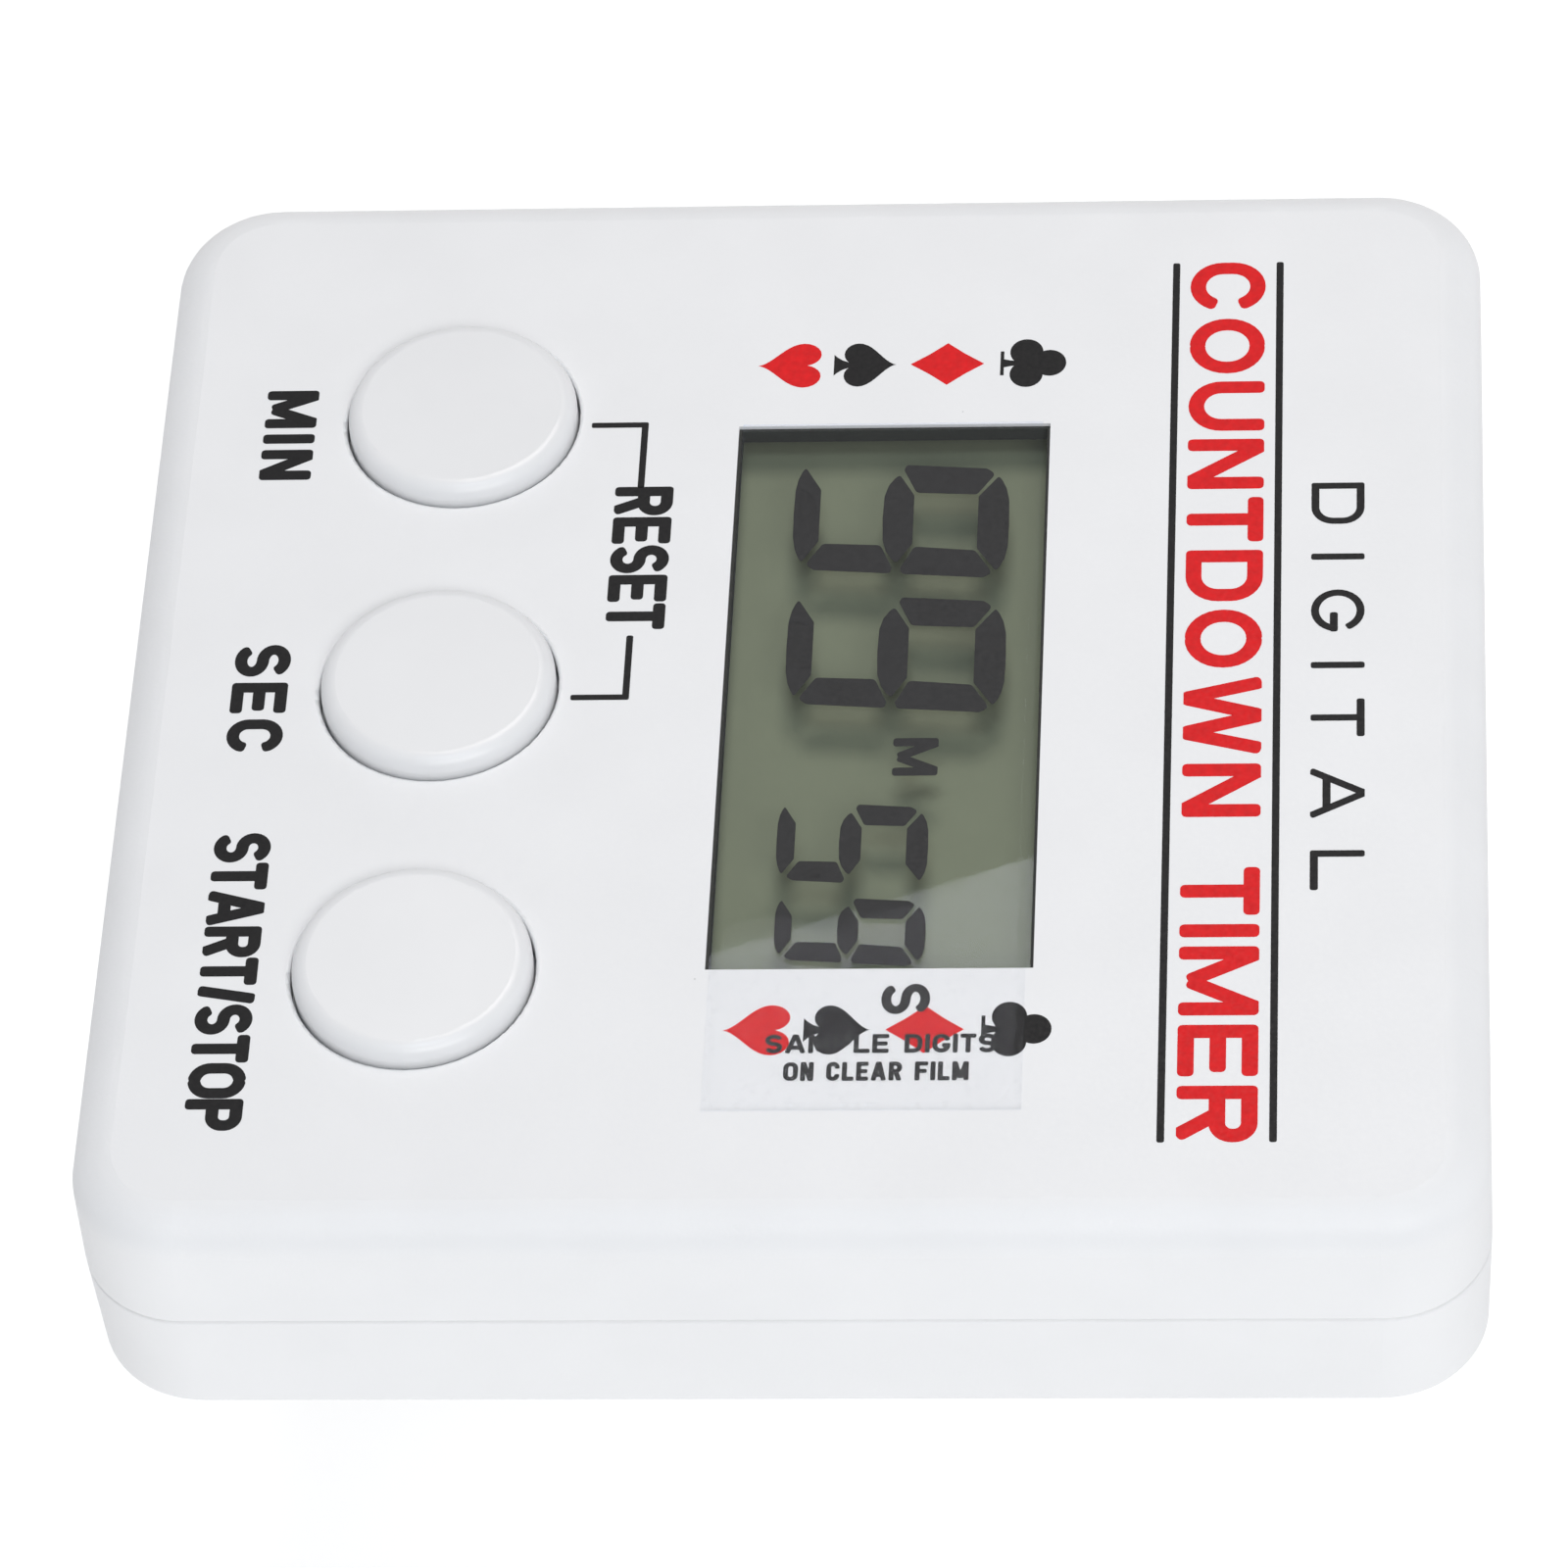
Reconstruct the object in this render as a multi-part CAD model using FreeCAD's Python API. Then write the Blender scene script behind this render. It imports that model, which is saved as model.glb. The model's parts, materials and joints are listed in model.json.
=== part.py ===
import FreeCAD, Part
import math
import os

# Pocket countdown timer for the games table: a square two-shell plastic case with an LCD window, three
# push buttons with a rubber keypad below them, a coin-slot battery door, a fold-out stand and two magnets.
#
# Row frame, millimetres: the timer lies on its back. +Z comes out of the face, +Y is the top of the face
# and +X is the way the face reads. The origin is the middle of the back face.
#
# Driving dimensions

CASE_SIDE = 65.0            # square, measured at the seam
CASE_T = 13.4               # back face to front face
SEAM_Z = 6.8                # height of the seam between the two shells
SEAM_GAP = 0.12
CORNER_R = 5.0              # plan corners of the case
FACE_EDGE_R = 2.0           # round between face and sides
BACK_EDGE_R = 0.6
SEAM_EDGE_R = 0.25          # round on the back shell's upper rim
INSIDE_R = 0.8              # round inside the front shell, between face and sides
FRONT_DRAFT = 0.012         # side taper, millimetres per millimetre of height
BACK_DRAFT = 0.025
WALL = 1.8
FACE = 1.5                  # thickness of the face
FLOOR = 1.5                 # thickness of the back
TONGUE = 0.85               # the back shell's tongue stands inside the front shell's rim
TONGUE_H = 0.9
TONGUE_PLAY = 0.15
TONGUE_TOP_PLAY = 0.4
TONGUE_ROOT = 1.2           # the tongue reaches this far down into the wall

WINDOW_X = 33.75
WINDOW_Y = 15.2
WINDOW_CX = 0.4
WINDOW_CY = 3.9
WINDOW_RIM_T = 1.0          # the face is this thick at the window's rim
LENS_PLAY = 0.15
LENS_SINK = 0.15            # the lens sits this far below the face
LENS_BOTTOM = 11.75
LENS_FLANGE = 1.4           # how far the lens's flange reaches past the window
LENS_POCKET_PLAY = 0.2
GASKET_SINK = 0.06          # the gasket's top lies this far below the lens's top
GASKET_FIT = 0.005

BUTTON_PITCH = 17.2
BUTTON_Y = -17.3
BUTTON_R = 5.62
BUTTON_HOLE_R = 5.74
HOLE_EDGE_R = 0.2
BUTTON_PROUD = 1.0
BUTTON_EDGE_R = 0.75
BUTTON_TRAVEL = 0.8
BUTTON_WALL = 1.0
BUTTON_ROOF = 1.2
FLANGE_R = 6.4              # holds the cap in behind the face
FLANGE_T = 0.85
FLANGE_Z0 = 11.0
COLLAR_R = 6.6              # guide collar round each flange
COLLAR_T = 0.8
KEY_W = 1.5                 # key on the flange that stops the cap turning
KEY_PLAY = 0.15
PLUNGER_R = 2.0
PLUNGER_Z = 10.4            # the plunger's lower end
KEYPAD_X = 23.0             # half width of the keypad's web
KEYPAD_Y = 5.0
KEYPAD_T = 0.8
DOME_R = 4.5
PILL_R = 1.6
PILL_T = 0.4

BOARD_T = 1.0
BOARD_TOP = 8.4
BOARD_X = 25.5
BOARD_Y0 = -26.5
BOARD_Y1 = 17.5
PAD_T = 0.05                # printed contacts on the board
BOARD_POST_R = 1.8
BOARD_SCREW_R = 0.62
BOARD_SCREW_L = 3.8

LCD_X = 19.0                # half length of the glass
LCD_Y0 = -6.0
LCD_Y1 = 15.4
LCD_LEDGE = 2.5             # the front glass reaches past the rear glass by this much
LCD_PLAY = 0.2
LCD_WALL_T = 1.0            # walls behind the face that hold the glass
LCD_WALL_Z = 9.0
GLASS_T = 0.8
POLARISER_T = 0.2
POLARISER_TOP = 11.2
REFLECTOR_T = 0.25
CONTACT_PITCH = 1.6

BOSS_XY = 27.2              # case screws stand at plus and minus this
FRONT_BOSS_R = 3.0
BACK_BOSS_R = 3.2
BOSS_GAP = 0.05
RIB_T = 1.0
CASE_SCREW_R = 0.92
CASE_SCREW_L = 8.0
CASE_SCREW_SEAT = 3.0       # height of the case screws' heads

CELL_X = -21.3
CELL_Y = 2.15
CELL_R = 5.8                # a button cell of 11.6 by 5.4
CELL_H = 5.4
CELL_Z = 1.3
CELL_WALL_R = 7.2
DOOR_R = 8.0
DOOR_T = 1.2
DOOR_PLAY = 0.15
NECK_R = 6.7                # outside of the door's neck
LUG_R = 7.95
LUG_Z0 = 2.2
LUG_Z1 = 2.85
LUG_SPAN = 24.0             # degrees that each lug takes up
LUG_TURN = 45.0             # the door turns this far from locked to open
LUGS = 3

BUZZER_X = 21.3
BUZZER_Y = 2.15
BUZZER_R = 7.5
BUZZER_Z = 2.1
BUZZER_PLATE_T = 0.2
CERAMIC_R = 5.5
CERAMIC_T = 0.15
LEAD_R = 0.4
SOUND_HOLE_R = 0.7
SOUND_RING_R = 3.2

MAGNET_X = 21.0
MAGNET_Y = 20.5
MAGNET_R = 4.5
MAGNET_T = 1.6
MAGNET_WALL = 1.1

STAND_X = 10.4              # half width of the stand
STAND_Y0 = -21.0
HINGE_Y = 14.0
HINGE_Z = 1.65
BARREL_R = 1.5
HINGE_PIN_R = 0.9
HINGE_PLAY = 0.05
STAND_Z0 = 0.15
STAND_T = 1.8
RECESS_PLAY = 0.4
RECESS_FOOT_PLAY = 0.5
RECESS_Z = 2.2              # depth of the recess that the stand folds into
RECESS_WALL = 1.2
BARREL_POCKET_Z = 3.4

FILM_T = 0.1
FILM_X0 = -16.5
FILM_X1 = 25.5
FILM_Y0 = -3.5
FILM_Y1 = 11.15
FILM_CORNER_R = 0.4

OVER = 1.0                  # a cutting shape reaches this far past what it cuts
BITE = 0.2                  # a boss or rib reaches this far into the wall it stands on
NEST = 0.05                 # play between parts that sit in each other

# Levels and places worked out from the driving dimensions

HALF = CASE_SIDE / 2
FACE_IN = CASE_T - FACE
BOARD_BOTTOM = BOARD_TOP - BOARD_T
PAD_TOP = BOARD_TOP + PAD_T
LENS_TOP = CASE_T - LENS_SINK
LENS_STEP = CASE_T - WINDOW_RIM_T
GLASS_TOP = POLARISER_TOP - POLARISER_T
GLASS_MID = GLASS_TOP - GLASS_T
GLASS_BOTTOM = GLASS_MID - GLASS_T
REFLECTOR_BOTTOM = GLASS_BOTTOM - REFLECTOR_T
REAR_GLASS_Y1 = LCD_Y1 - LCD_LEDGE
KEYPAD_TOP = BOARD_TOP + KEYPAD_T
DOME_TOP = PLUNGER_Z - NEST
PILL_Z = PAD_TOP + NEST + BUTTON_TRAVEL
BUTTON_TOP = CASE_T + BUTTON_PROUD
BOSS_SPLIT = SEAM_Z + NEST
RECESS_X = STAND_X + RECESS_PLAY
RECESS_Y0 = STAND_Y0 - RECESS_FOOT_PLAY
RECESS_Y1 = HINGE_Y + 1.8
BUTTON_XS = {"min": -BUTTON_PITCH, "sec": 0.0, "start_stop": BUTTON_PITCH}
CORNERS = [(sx * BOSS_XY, sy * BOSS_XY) for sx in (-1, 1) for sy in (-1, 1)]
BOARD_SCREWS = [(sx * x, y) for x, y in ((22.8, 12.5), (22.8, -8.2), (8.6, -24.3)) for sx in (-1, 1)]

V = FreeCAD.Vector
UP = V(0, 0, 1)
ALONG_X = V(1, 0, 0)


# Helpers

def box(x0, x1, y0, y1, z0, z1):
    return Part.makeBox(x1 - x0, y1 - y0, z1 - z0, V(x0, y0, z0))


def block_at(x, y, half_x, half_y, z0, z1):
    """A box round a vertical through x, y."""
    return box(x - half_x, x + half_x, y - half_y, y + half_y, z0, z1)


def post(x, y, z0, z1, r):
    return Part.makeCylinder(r, z1 - z0, V(x, y, z0))


def ring(x, y, z0, z1, r_in, r_out):
    return post(x, y, z0, z1, r_out).cut(post(x, y, z0 - OVER, z1 + OVER, r_in))


def rod(x, half_length, y, z, r):
    """A round bar along X, from x - half_length to x + half_length."""
    return Part.makeCylinder(r, 2 * half_length, V(x - half_length, y, z), ALONG_X)


def fuse(shapes):
    return shapes[0].multiFuse(shapes[1:]).removeSplitter()


def rounded_wire(half_x, half_y, r, z, cx=0.0, cy=0.0):
    """A rectangle with round corners, at height z."""
    edges = []
    corners = [(half_x, half_y), (-half_x, half_y), (-half_x, -half_y), (half_x, -half_y)]
    turns = [(V(0, 1, 0), V(1, 0, 0)), (V(-1, 0, 0), V(0, 1, 0)),
             (V(0, -1, 0), V(-1, 0, 0)), (V(1, 0, 0), V(0, -1, 0))]
    arcs = []
    for (x, y), (along, out) in zip(corners, turns):
        corner = V(cx + x, cy + y, z)
        start = corner - along * r
        end = corner - out * r
        middle = corner - (along + out) * r + (along + out) * (r / math.sqrt(2))
        arcs.append((start, middle, end))
    for i, (start, middle, end) in enumerate(arcs):
        edges.append(Part.Arc(start, middle, end).toShape())
        following = arcs[(i + 1) % 4][0]
        if (following - end).Length > 1e-6:
            edges.append(Part.LineSegment(end, following).toShape())
    return Part.Wire(edges)


def rounded_plate(half_x, half_y, r, z0, z1, cx=0.0, cy=0.0):
    return Part.Face(rounded_wire(half_x, half_y, r, z0, cx, cy)).extrude(V(0, 0, z1 - z0))


def tapered(half0, half1, r0, r1, z0, z1):
    """A square block with round corners and a side taper."""
    return Part.makeLoft([rounded_wire(half0, half0, r0, z0), rounded_wire(half1, half1, r1, z1)],
                         True, True)


def edges_at(shape, z, test=lambda e: True):
    """The edges that lie at height z."""
    return [e for e in shape.Edges
            if abs(e.BoundBox.ZMin - z) < 1e-5 and abs(e.BoundBox.ZMax - z) < 1e-5 and test(e)]


def turned(points, x=0.0, y=0.0):
    """A solid of revolution from (radius, height) points, about the vertical through x, y."""
    outline = [V(x + r, y, z) for r, z in points]
    face = Part.Face(Part.makePolygon(outline + outline[:1]))
    return face.revolve(V(x, y, 0), UP, 360)


def sector(x, y, z0, z1, r_in, r_out, middle_deg, span_deg):
    """Part of a flat ring, spanning span_deg about middle_deg."""
    whole = Part.makeCylinder(r_out, z1 - z0, V(x, y, z0), UP, span_deg)
    whole.rotate(V(x, y, z0), UP, middle_deg - span_deg / 2)
    return whole.cut(post(x, y, z0 - OVER, z1 + OVER, r_in))


def extruded_x(points, x0, x1):
    """A prism along X from (y, z) points."""
    outline = [V(x0, y, z) for y, z in points]
    return Part.Face(Part.makePolygon(outline + outline[:1])).extrude(V(x1 - x0, 0, 0))


def wire_tube(points, radius):
    """A tube along straight runs joined by tangent arcs."""
    corners = [V(*p) for p in points]
    edges = []
    at = corners[0]
    for before, corner, after in zip(corners, corners[1:], corners[2:]):
        u = (before - corner).normalize()
        w = (after - corner).normalize()
        turn = math.pi - u.getAngle(w)
        run = min((before - corner).Length, (after - corner).Length)
        setback = 0.45 * run
        bend = setback / math.tan(turn / 2)
        start = corner + u * setback
        end = corner + w * setback
        inward = (u + w).normalize()
        centre = corner + inward * (bend / math.cos(turn / 2))
        middle = centre - inward * bend
        edges.append(Part.LineSegment(at, start).toShape())
        edges.append(Part.Arc(start, middle, end).toShape())
        at = end
    edges.append(Part.LineSegment(at, corners[-1]).toShape())
    path = Part.Wire(edges)
    section = Part.Wire([Part.Circle(corners[0], corners[1] - corners[0], radius).toShape()])
    return path.makePipeShell([section], True, False)


def save(name, shape):
    os.makedirs("parts", exist_ok=True)
    solids = shape.Solids
    if not solids or not shape.isValid():
        raise ValueError(name + " is not a valid solid")
    whole = solids[0] if len(solids) == 1 else Part.makeCompound(solids)
    whole.exportStep("parts/" + name + ".step")
    print(name, len(solids), "solids", round(sum(s.Volume for s in solids), 2), "mm3")


# Case shells

def side_half(z):
    """Half the width of the case's outside at height z."""
    draft = FRONT_DRAFT if z > SEAM_Z else BACK_DRAFT
    return HALF - draft * abs(z - SEAM_Z)


def block(z0, z1, inset):
    """The case's outside between two heights, moved inward by inset."""
    h0 = side_half(z0) - inset
    h1 = side_half(z1) - inset
    return tapered(h0, h1, CORNER_R - inset, CORNER_R - inset, z0, z1)


def boss_ribs(x, y, z0, z1):
    """Two webs from a corner boss to the side walls."""
    wall_x = math.copysign(HALF - WALL + 3 * BITE, x)
    wall_y = math.copysign(HALF - WALL + 3 * BITE, y)
    to_side = block_at((x + wall_x) / 2, y, abs(wall_x - x) / 2, RIB_T / 2, z0, z1)
    to_end = block_at(x, (y + wall_y) / 2, RIB_T / 2, abs(wall_y - y) / 2, z0, z1)
    return [to_side, to_end]


def tongue_ring(z0, z1, play):
    """The tongue's ring along the inside of the walls, grown by play on each side."""
    inside = HALF - WALL - play
    outside = HALF - WALL + TONGUE + play
    r_in = CORNER_R - WALL
    big = rounded_plate(outside, outside, r_in + TONGUE + play, z0, z1)
    small = rounded_plate(inside, inside, r_in - play, z0 - OVER, z1 + OVER)
    return big.cut(small)


def front_bosses():
    """Screw bosses in the corners and over the board, and the collars that guide the buttons."""
    top = FACE_IN + BITE
    bottom = BOSS_SPLIT + BOSS_GAP
    made = []
    for x, y in CORNERS:
        made.append(post(x, y, bottom, top, FRONT_BOSS_R))
        made.extend(boss_ribs(x, y, bottom, top))
    for x, y in BOARD_SCREWS:
        made.append(post(x, y, BOARD_TOP, top, BOARD_POST_R))
    for x in BUTTON_XS.values():
        made.append(ring(x, BUTTON_Y, KEYPAD_TOP + NEST, top, COLLAR_R, COLLAR_R + COLLAR_T))
    return made


def display_walls():
    """Four walls behind the face round the glass, and two bars that it is pressed up against."""
    half_t = LCD_WALL_T / 2
    side_x = LCD_X + LCD_PLAY + half_t
    side_half_y = 8.5
    side_y = 4.5
    end_half_x = 14.0
    top = FACE_IN + BITE / 2
    sides = [block_at(sx * side_x, side_y, half_t, side_half_y, LCD_WALL_Z, top) for sx in (-1, 1)]
    ends = [block_at(0, y, end_half_x, half_t, LCD_WALL_Z, top)
            for y in (LCD_Y0 - LCD_PLAY - half_t, LCD_Y1 + LCD_PLAY + half_t)]
    stop_gap = 0.02
    low_stop = (LCD_Y0 - LCD_PLAY - BITE, LCD_Y0 + 0.5)
    high_stop = (LCD_Y1 - 2.0, LCD_Y1 + LCD_PLAY + BITE)
    stops = [box(-end_half_x, end_half_x, y0, y1, GLASS_TOP + stop_gap, top)
             for y0, y1 in (low_stop, high_stop)]
    return sides + ends + stops


def window_cut():
    """The window's opening and, behind its rim, the pocket for the lens's flange."""
    half_x = WINDOW_X / 2
    half_y = WINDOW_Y / 2
    reach = LENS_FLANGE + LENS_POCKET_PLAY
    opening = block_at(WINDOW_CX, WINDOW_CY, half_x, half_y, FACE_IN - OVER, CASE_T + OVER)
    pocket = block_at(WINDOW_CX, WINDOW_CY, half_x + reach, half_y + reach, FACE_IN - 0.5, LENS_STEP)
    return [opening, pocket]


def button_cut(x):
    """A button's hole, and the keyway in its collar."""
    hole = post(x, BUTTON_Y, FACE_IN - OVER, CASE_T + OVER, BUTTON_HOLE_R)
    keyway = block_at(x, BUTTON_Y + COLLAR_R + COLLAR_T / 2, KEY_W / 2 + KEY_PLAY, COLLAR_T / 2 + 0.5,
                      KEYPAD_TOP, FACE_IN)
    return [hole, keyway]


def make_front_case():
    rim_z = SEAM_Z + SEAM_GAP / 2
    outer = block(rim_z, CASE_T, 0)
    outer = outer.makeFillet(FACE_EDGE_R, edges_at(outer, CASE_T))
    inner = block(rim_z - OVER, FACE_IN, WALL)
    inner = inner.makeFillet(INSIDE_R, edges_at(inner, FACE_IN))
    case = fuse([outer.cut(inner)] + front_bosses() + display_walls())
    board_screw_depth = 3.2
    case_screw_depth = 4.7
    thread_play = 0.03
    removed = window_cut()
    removed.append(tongue_ring(SEAM_Z - OVER, SEAM_Z + TONGUE_H + TONGUE_TOP_PLAY, TONGUE_PLAY))
    for x in BUTTON_XS.values():
        removed.extend(button_cut(x))
    for x, y in BOARD_SCREWS:
        removed.append(post(x, y, BOARD_TOP - OVER, BOARD_TOP + board_screw_depth,
                            BOARD_SCREW_R + thread_play))
    for x, y in CORNERS:
        removed.append(post(x, y, SEAM_Z, SEAM_Z + case_screw_depth, CASE_SCREW_R + thread_play))
    case = case.cut(Part.makeCompound(removed)).removeSplitter()
    holes = edges_at(case, CASE_T, lambda e: isinstance(e.Curve, Part.Circle)
                     and abs(e.Curve.Radius - BUTTON_HOLE_R) < 1e-4)
    return case.makeFillet(HOLE_EDGE_R, holes)


SEAT_Z0 = 0.5               # seats and bosses on the back start this high, inside its thickness


def back_bosses():
    """Corner bosses, and the thicker places round the stand, the cell, the magnets and the buzzer."""
    made = []
    for x, y in CORNERS:
        made.append(post(x, y, SEAT_Z0, BOSS_SPLIT, BACK_BOSS_R))
        made.extend(boss_ribs(x, y, SEAT_Z0, SEAM_Z - 1.5))

    recess_top = RECESS_Z + RECESS_WALL
    hinge_cheek = 2.6
    hinge_ends = HINGE_Y + 3
    around = RECESS_X + RECESS_WALL
    made.append(box(-around, around, RECESS_Y0 - RECESS_WALL, hinge_ends, SEAT_Z0, recess_top))
    made.append(box(-RECESS_X - hinge_cheek, RECESS_X + hinge_cheek, HINGE_Y - 2.8, hinge_ends,
                    SEAT_Z0, BARREL_POCKET_Z + RECESS_WALL))
    notch_half_x = 6.5
    notch_y0 = -28.5
    made.append(box(-notch_half_x, notch_half_x, notch_y0, RECESS_Y0, SEAT_Z0, recess_top))

    cell_seat_r = 10.0
    cell_seat_top = 3.6
    made.append(post(CELL_X, CELL_Y, SEAT_Z0, cell_seat_top, cell_seat_r))
    made.append(post(CELL_X, CELL_Y, cell_seat_top - 0.6, SEAM_Z + BITE, CELL_WALL_R))
    for sx in (-1, 1):
        made.append(post(sx * MAGNET_X, MAGNET_Y, SEAT_Z0, MAGNET_T + MAGNET_WALL, MAGNET_R + MAGNET_WALL))

    ledge = 0.7
    rim_r = BUZZER_R + 0.9
    made.append(ring(BUZZER_X, BUZZER_Y, 1.0, BUZZER_Z, BUZZER_R - ledge, rim_r))
    made.append(ring(BUZZER_X, BUZZER_Y, 1.0, BUZZER_Z + 0.5, BUZZER_R + 0.15, rim_r))
    return made


def stand_cut():
    """The stand's recess, the deeper pocket for its barrel, the pin holes and a notch for a fingernail."""
    barrel_pocket = box(-RECESS_X, RECESS_X, HINGE_Y - 1.9, RECESS_Y1, -OVER, BARREL_POCKET_Z)
    recess = box(-RECESS_X, RECESS_X, RECESS_Y0, RECESS_Y1, -OVER, RECESS_Z)
    notch_half_x = 5.0
    notch_r = 4.0
    notch = rod(0, notch_half_x, RECESS_Y0 - 1.0, -1.8, notch_r)
    pins = rod(0, RECESS_X + 1.6, HINGE_Y, HINGE_Z, HINGE_PIN_R + HINGE_PLAY)
    return [recess, barrel_pocket, notch, pins]


def cell_cut():
    """The cell's bore, the door's pocket, the lugs' groove with three entries, and a contact's slot."""
    groove_z0 = LUG_Z0 - 0.1
    pocket_r = DOOR_R + DOOR_PLAY
    bore_play = 0.2
    made = [
        post(CELL_X, CELL_Y, -OVER, DOOR_T + 0.1, pocket_r),
        post(CELL_X, CELL_Y, 1, groove_z0, NECK_R + DOOR_PLAY),
        post(CELL_X, CELL_Y, groove_z0, LUG_Z1 + 0.1, pocket_r),
        post(CELL_X, CELL_Y, 2.5, SEAM_Z + OVER, CELL_R + bore_play),
        box(CELL_X + CELL_R - 0.1, CELL_X + 8, CELL_Y - 1.8, CELL_Y + 1.8, 3.65, SEAM_Z + OVER),
    ]
    entry_play_deg = 6
    for lug in range(LUGS):
        made.append(sector(CELL_X, CELL_Y, 1, LUG_Z0, NECK_R - 0.2, pocket_r, 120 * lug + LUG_TURN,
                           LUG_SPAN + entry_play_deg))
    return made


def back_holes():
    """Magnet pockets, screw holes with their counterbores, and the buzzer's sound holes."""
    made = []
    for sx in (-1, 1):
        made.append(post(sx * MAGNET_X, MAGNET_Y, -OVER, MAGNET_T + 2 * NEST, MAGNET_R + NEST))
    counterbore_r = 2.2
    clearance_r = 1.2
    for x, y in CORNERS:
        made.append(post(x, y, -OVER, CASE_SCREW_SEAT, counterbore_r))
        made.append(post(x, y, CASE_SCREW_SEAT - OVER, SEAM_Z + OVER, clearance_r))
    around = [math.radians(60 * k) for k in range(6)]
    spots = [(0, 0)] + [(SOUND_RING_R * math.cos(a), SOUND_RING_R * math.sin(a)) for a in around]
    for dx, dy in spots:
        made.append(post(BUZZER_X + dx, BUZZER_Y + dy, -OVER, FLOOR + 0.5, SOUND_HOLE_R))
    return made


def make_back_case():
    rim_z = SEAM_Z - SEAM_GAP / 2
    outer = block(0, rim_z, 0)
    outer = outer.makeFillet(BACK_EDGE_R, edges_at(outer, 0))
    outer = outer.makeFillet(SEAM_EDGE_R, edges_at(outer, rim_z))
    shell = outer.cut(block(FLOOR, rim_z + OVER, WALL))
    tongue = tongue_ring(rim_z - TONGUE_ROOT, SEAM_Z + TONGUE_H, 0)
    case = fuse([shell, tongue] + back_bosses())
    for tool in stand_cut() + cell_cut() + back_holes():
        case = case.cut(tool)
    return case.removeSplitter()


# Window, film and display

def make_window_lens():
    """A clear plug that fills the window, on a flange that lies behind the window's rim."""
    half_x = WINDOW_X / 2
    half_y = WINDOW_Y / 2
    plug = block_at(WINDOW_CX, WINDOW_CY, half_x - LENS_PLAY, half_y - LENS_PLAY, LENS_STEP - BITE, LENS_TOP)
    flange = block_at(WINDOW_CX, WINDOW_CY, half_x + LENS_FLANGE, half_y + LENS_FLANGE,
                      LENS_BOTTOM, LENS_STEP)
    return fuse([plug, flange])


def make_lens_gasket():
    """A thin dark ring that closes the play between the lens and the window's rim."""
    z0 = LENS_STEP + GASKET_FIT
    z1 = LENS_TOP - GASKET_SINK
    outer_x = WINDOW_X / 2 - GASKET_FIT
    outer_y = WINDOW_Y / 2 - GASKET_FIT
    width = LENS_PLAY - 2 * GASKET_FIT
    outer = block_at(WINDOW_CX, WINDOW_CY, outer_x, outer_y, z0, z1)
    return outer.cut(block_at(WINDOW_CX, WINDOW_CY, outer_x - width, outer_y - width, z0 - OVER, z1 + OVER))


def make_protective_film():
    half_x = (FILM_X1 - FILM_X0) / 2
    half_y = (FILM_Y1 - FILM_Y0) / 2
    return rounded_plate(half_x, half_y, FILM_CORNER_R, CASE_T, CASE_T + FILM_T,
                         FILM_X0 + half_x, FILM_Y0 + half_y)


def lcd_sheet(inset_x, y0, y1, z0, z1):
    return box(-LCD_X + inset_x, LCD_X - inset_x, y0, y1, z0, z1)


def make_lcd():
    """The display's layers, front to back, with the foam and the rubber connector behind them."""
    film_x = 1.0
    film_y0 = LCD_Y0 + 0.9
    film_y1 = REAR_GLASS_Y1 - 0.4
    foam_x = 2.0
    foam_y0 = LCD_Y0 + 1.5
    foam_y1 = REAR_GLASS_Y1 - 1.0
    strip_x = 1.5
    strip_y0 = LCD_Y1 - 2.25
    strip_y1 = LCD_Y1 - 0.25
    return {
        "lcd_front_polariser": lcd_sheet(film_x, film_y0, film_y1, GLASS_TOP, POLARISER_TOP),
        "lcd_front_glass": lcd_sheet(0, LCD_Y0, LCD_Y1, GLASS_MID, GLASS_TOP),
        "lcd_rear_glass": lcd_sheet(0, LCD_Y0, REAR_GLASS_Y1, GLASS_BOTTOM, GLASS_MID),
        "lcd_reflector": lcd_sheet(film_x, film_y0, film_y1, REFLECTOR_BOTTOM, GLASS_BOTTOM),
        "lcd_foam_pad": lcd_sheet(foam_x, foam_y0, foam_y1, BOARD_TOP, REFLECTOR_BOTTOM),
        "zebra_strip": lcd_sheet(strip_x, strip_y0, strip_y1, PAD_TOP, GLASS_MID),
    }


# Board and what is on it

def make_circuit_board():
    board = box(-BOARD_X, BOARD_X, BOARD_Y0, BOARD_Y1, BOARD_BOTTOM, BOARD_TOP)
    below = BOARD_BOTTOM - OVER
    above = BOARD_TOP + OVER
    screw_hole_r = 0.9
    boss_notch_r = 3.4
    holes = [post(x, y, below, above, screw_hole_r) for x, y in BOARD_SCREWS]
    holes += [post(x, y, below, above, boss_notch_r) for x, y in CORNERS if y < 0]
    board = board.cut(Part.makeCompound(holes))
    pads = []
    for x in BUTTON_XS.values():
        pads.extend(comb_pads(x, BUTTON_Y))
    for k in range(-10, 11):
        x = k * CONTACT_PITCH
        pads.append(box(x - CONTACT_PITCH / 4, x + CONTACT_PITCH / 4, LCD_Y1 - 2.4, LCD_Y1 + 0.2,
                        BOARD_TOP - NEST, PAD_TOP))
    return fuse([board] + pads)


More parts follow.
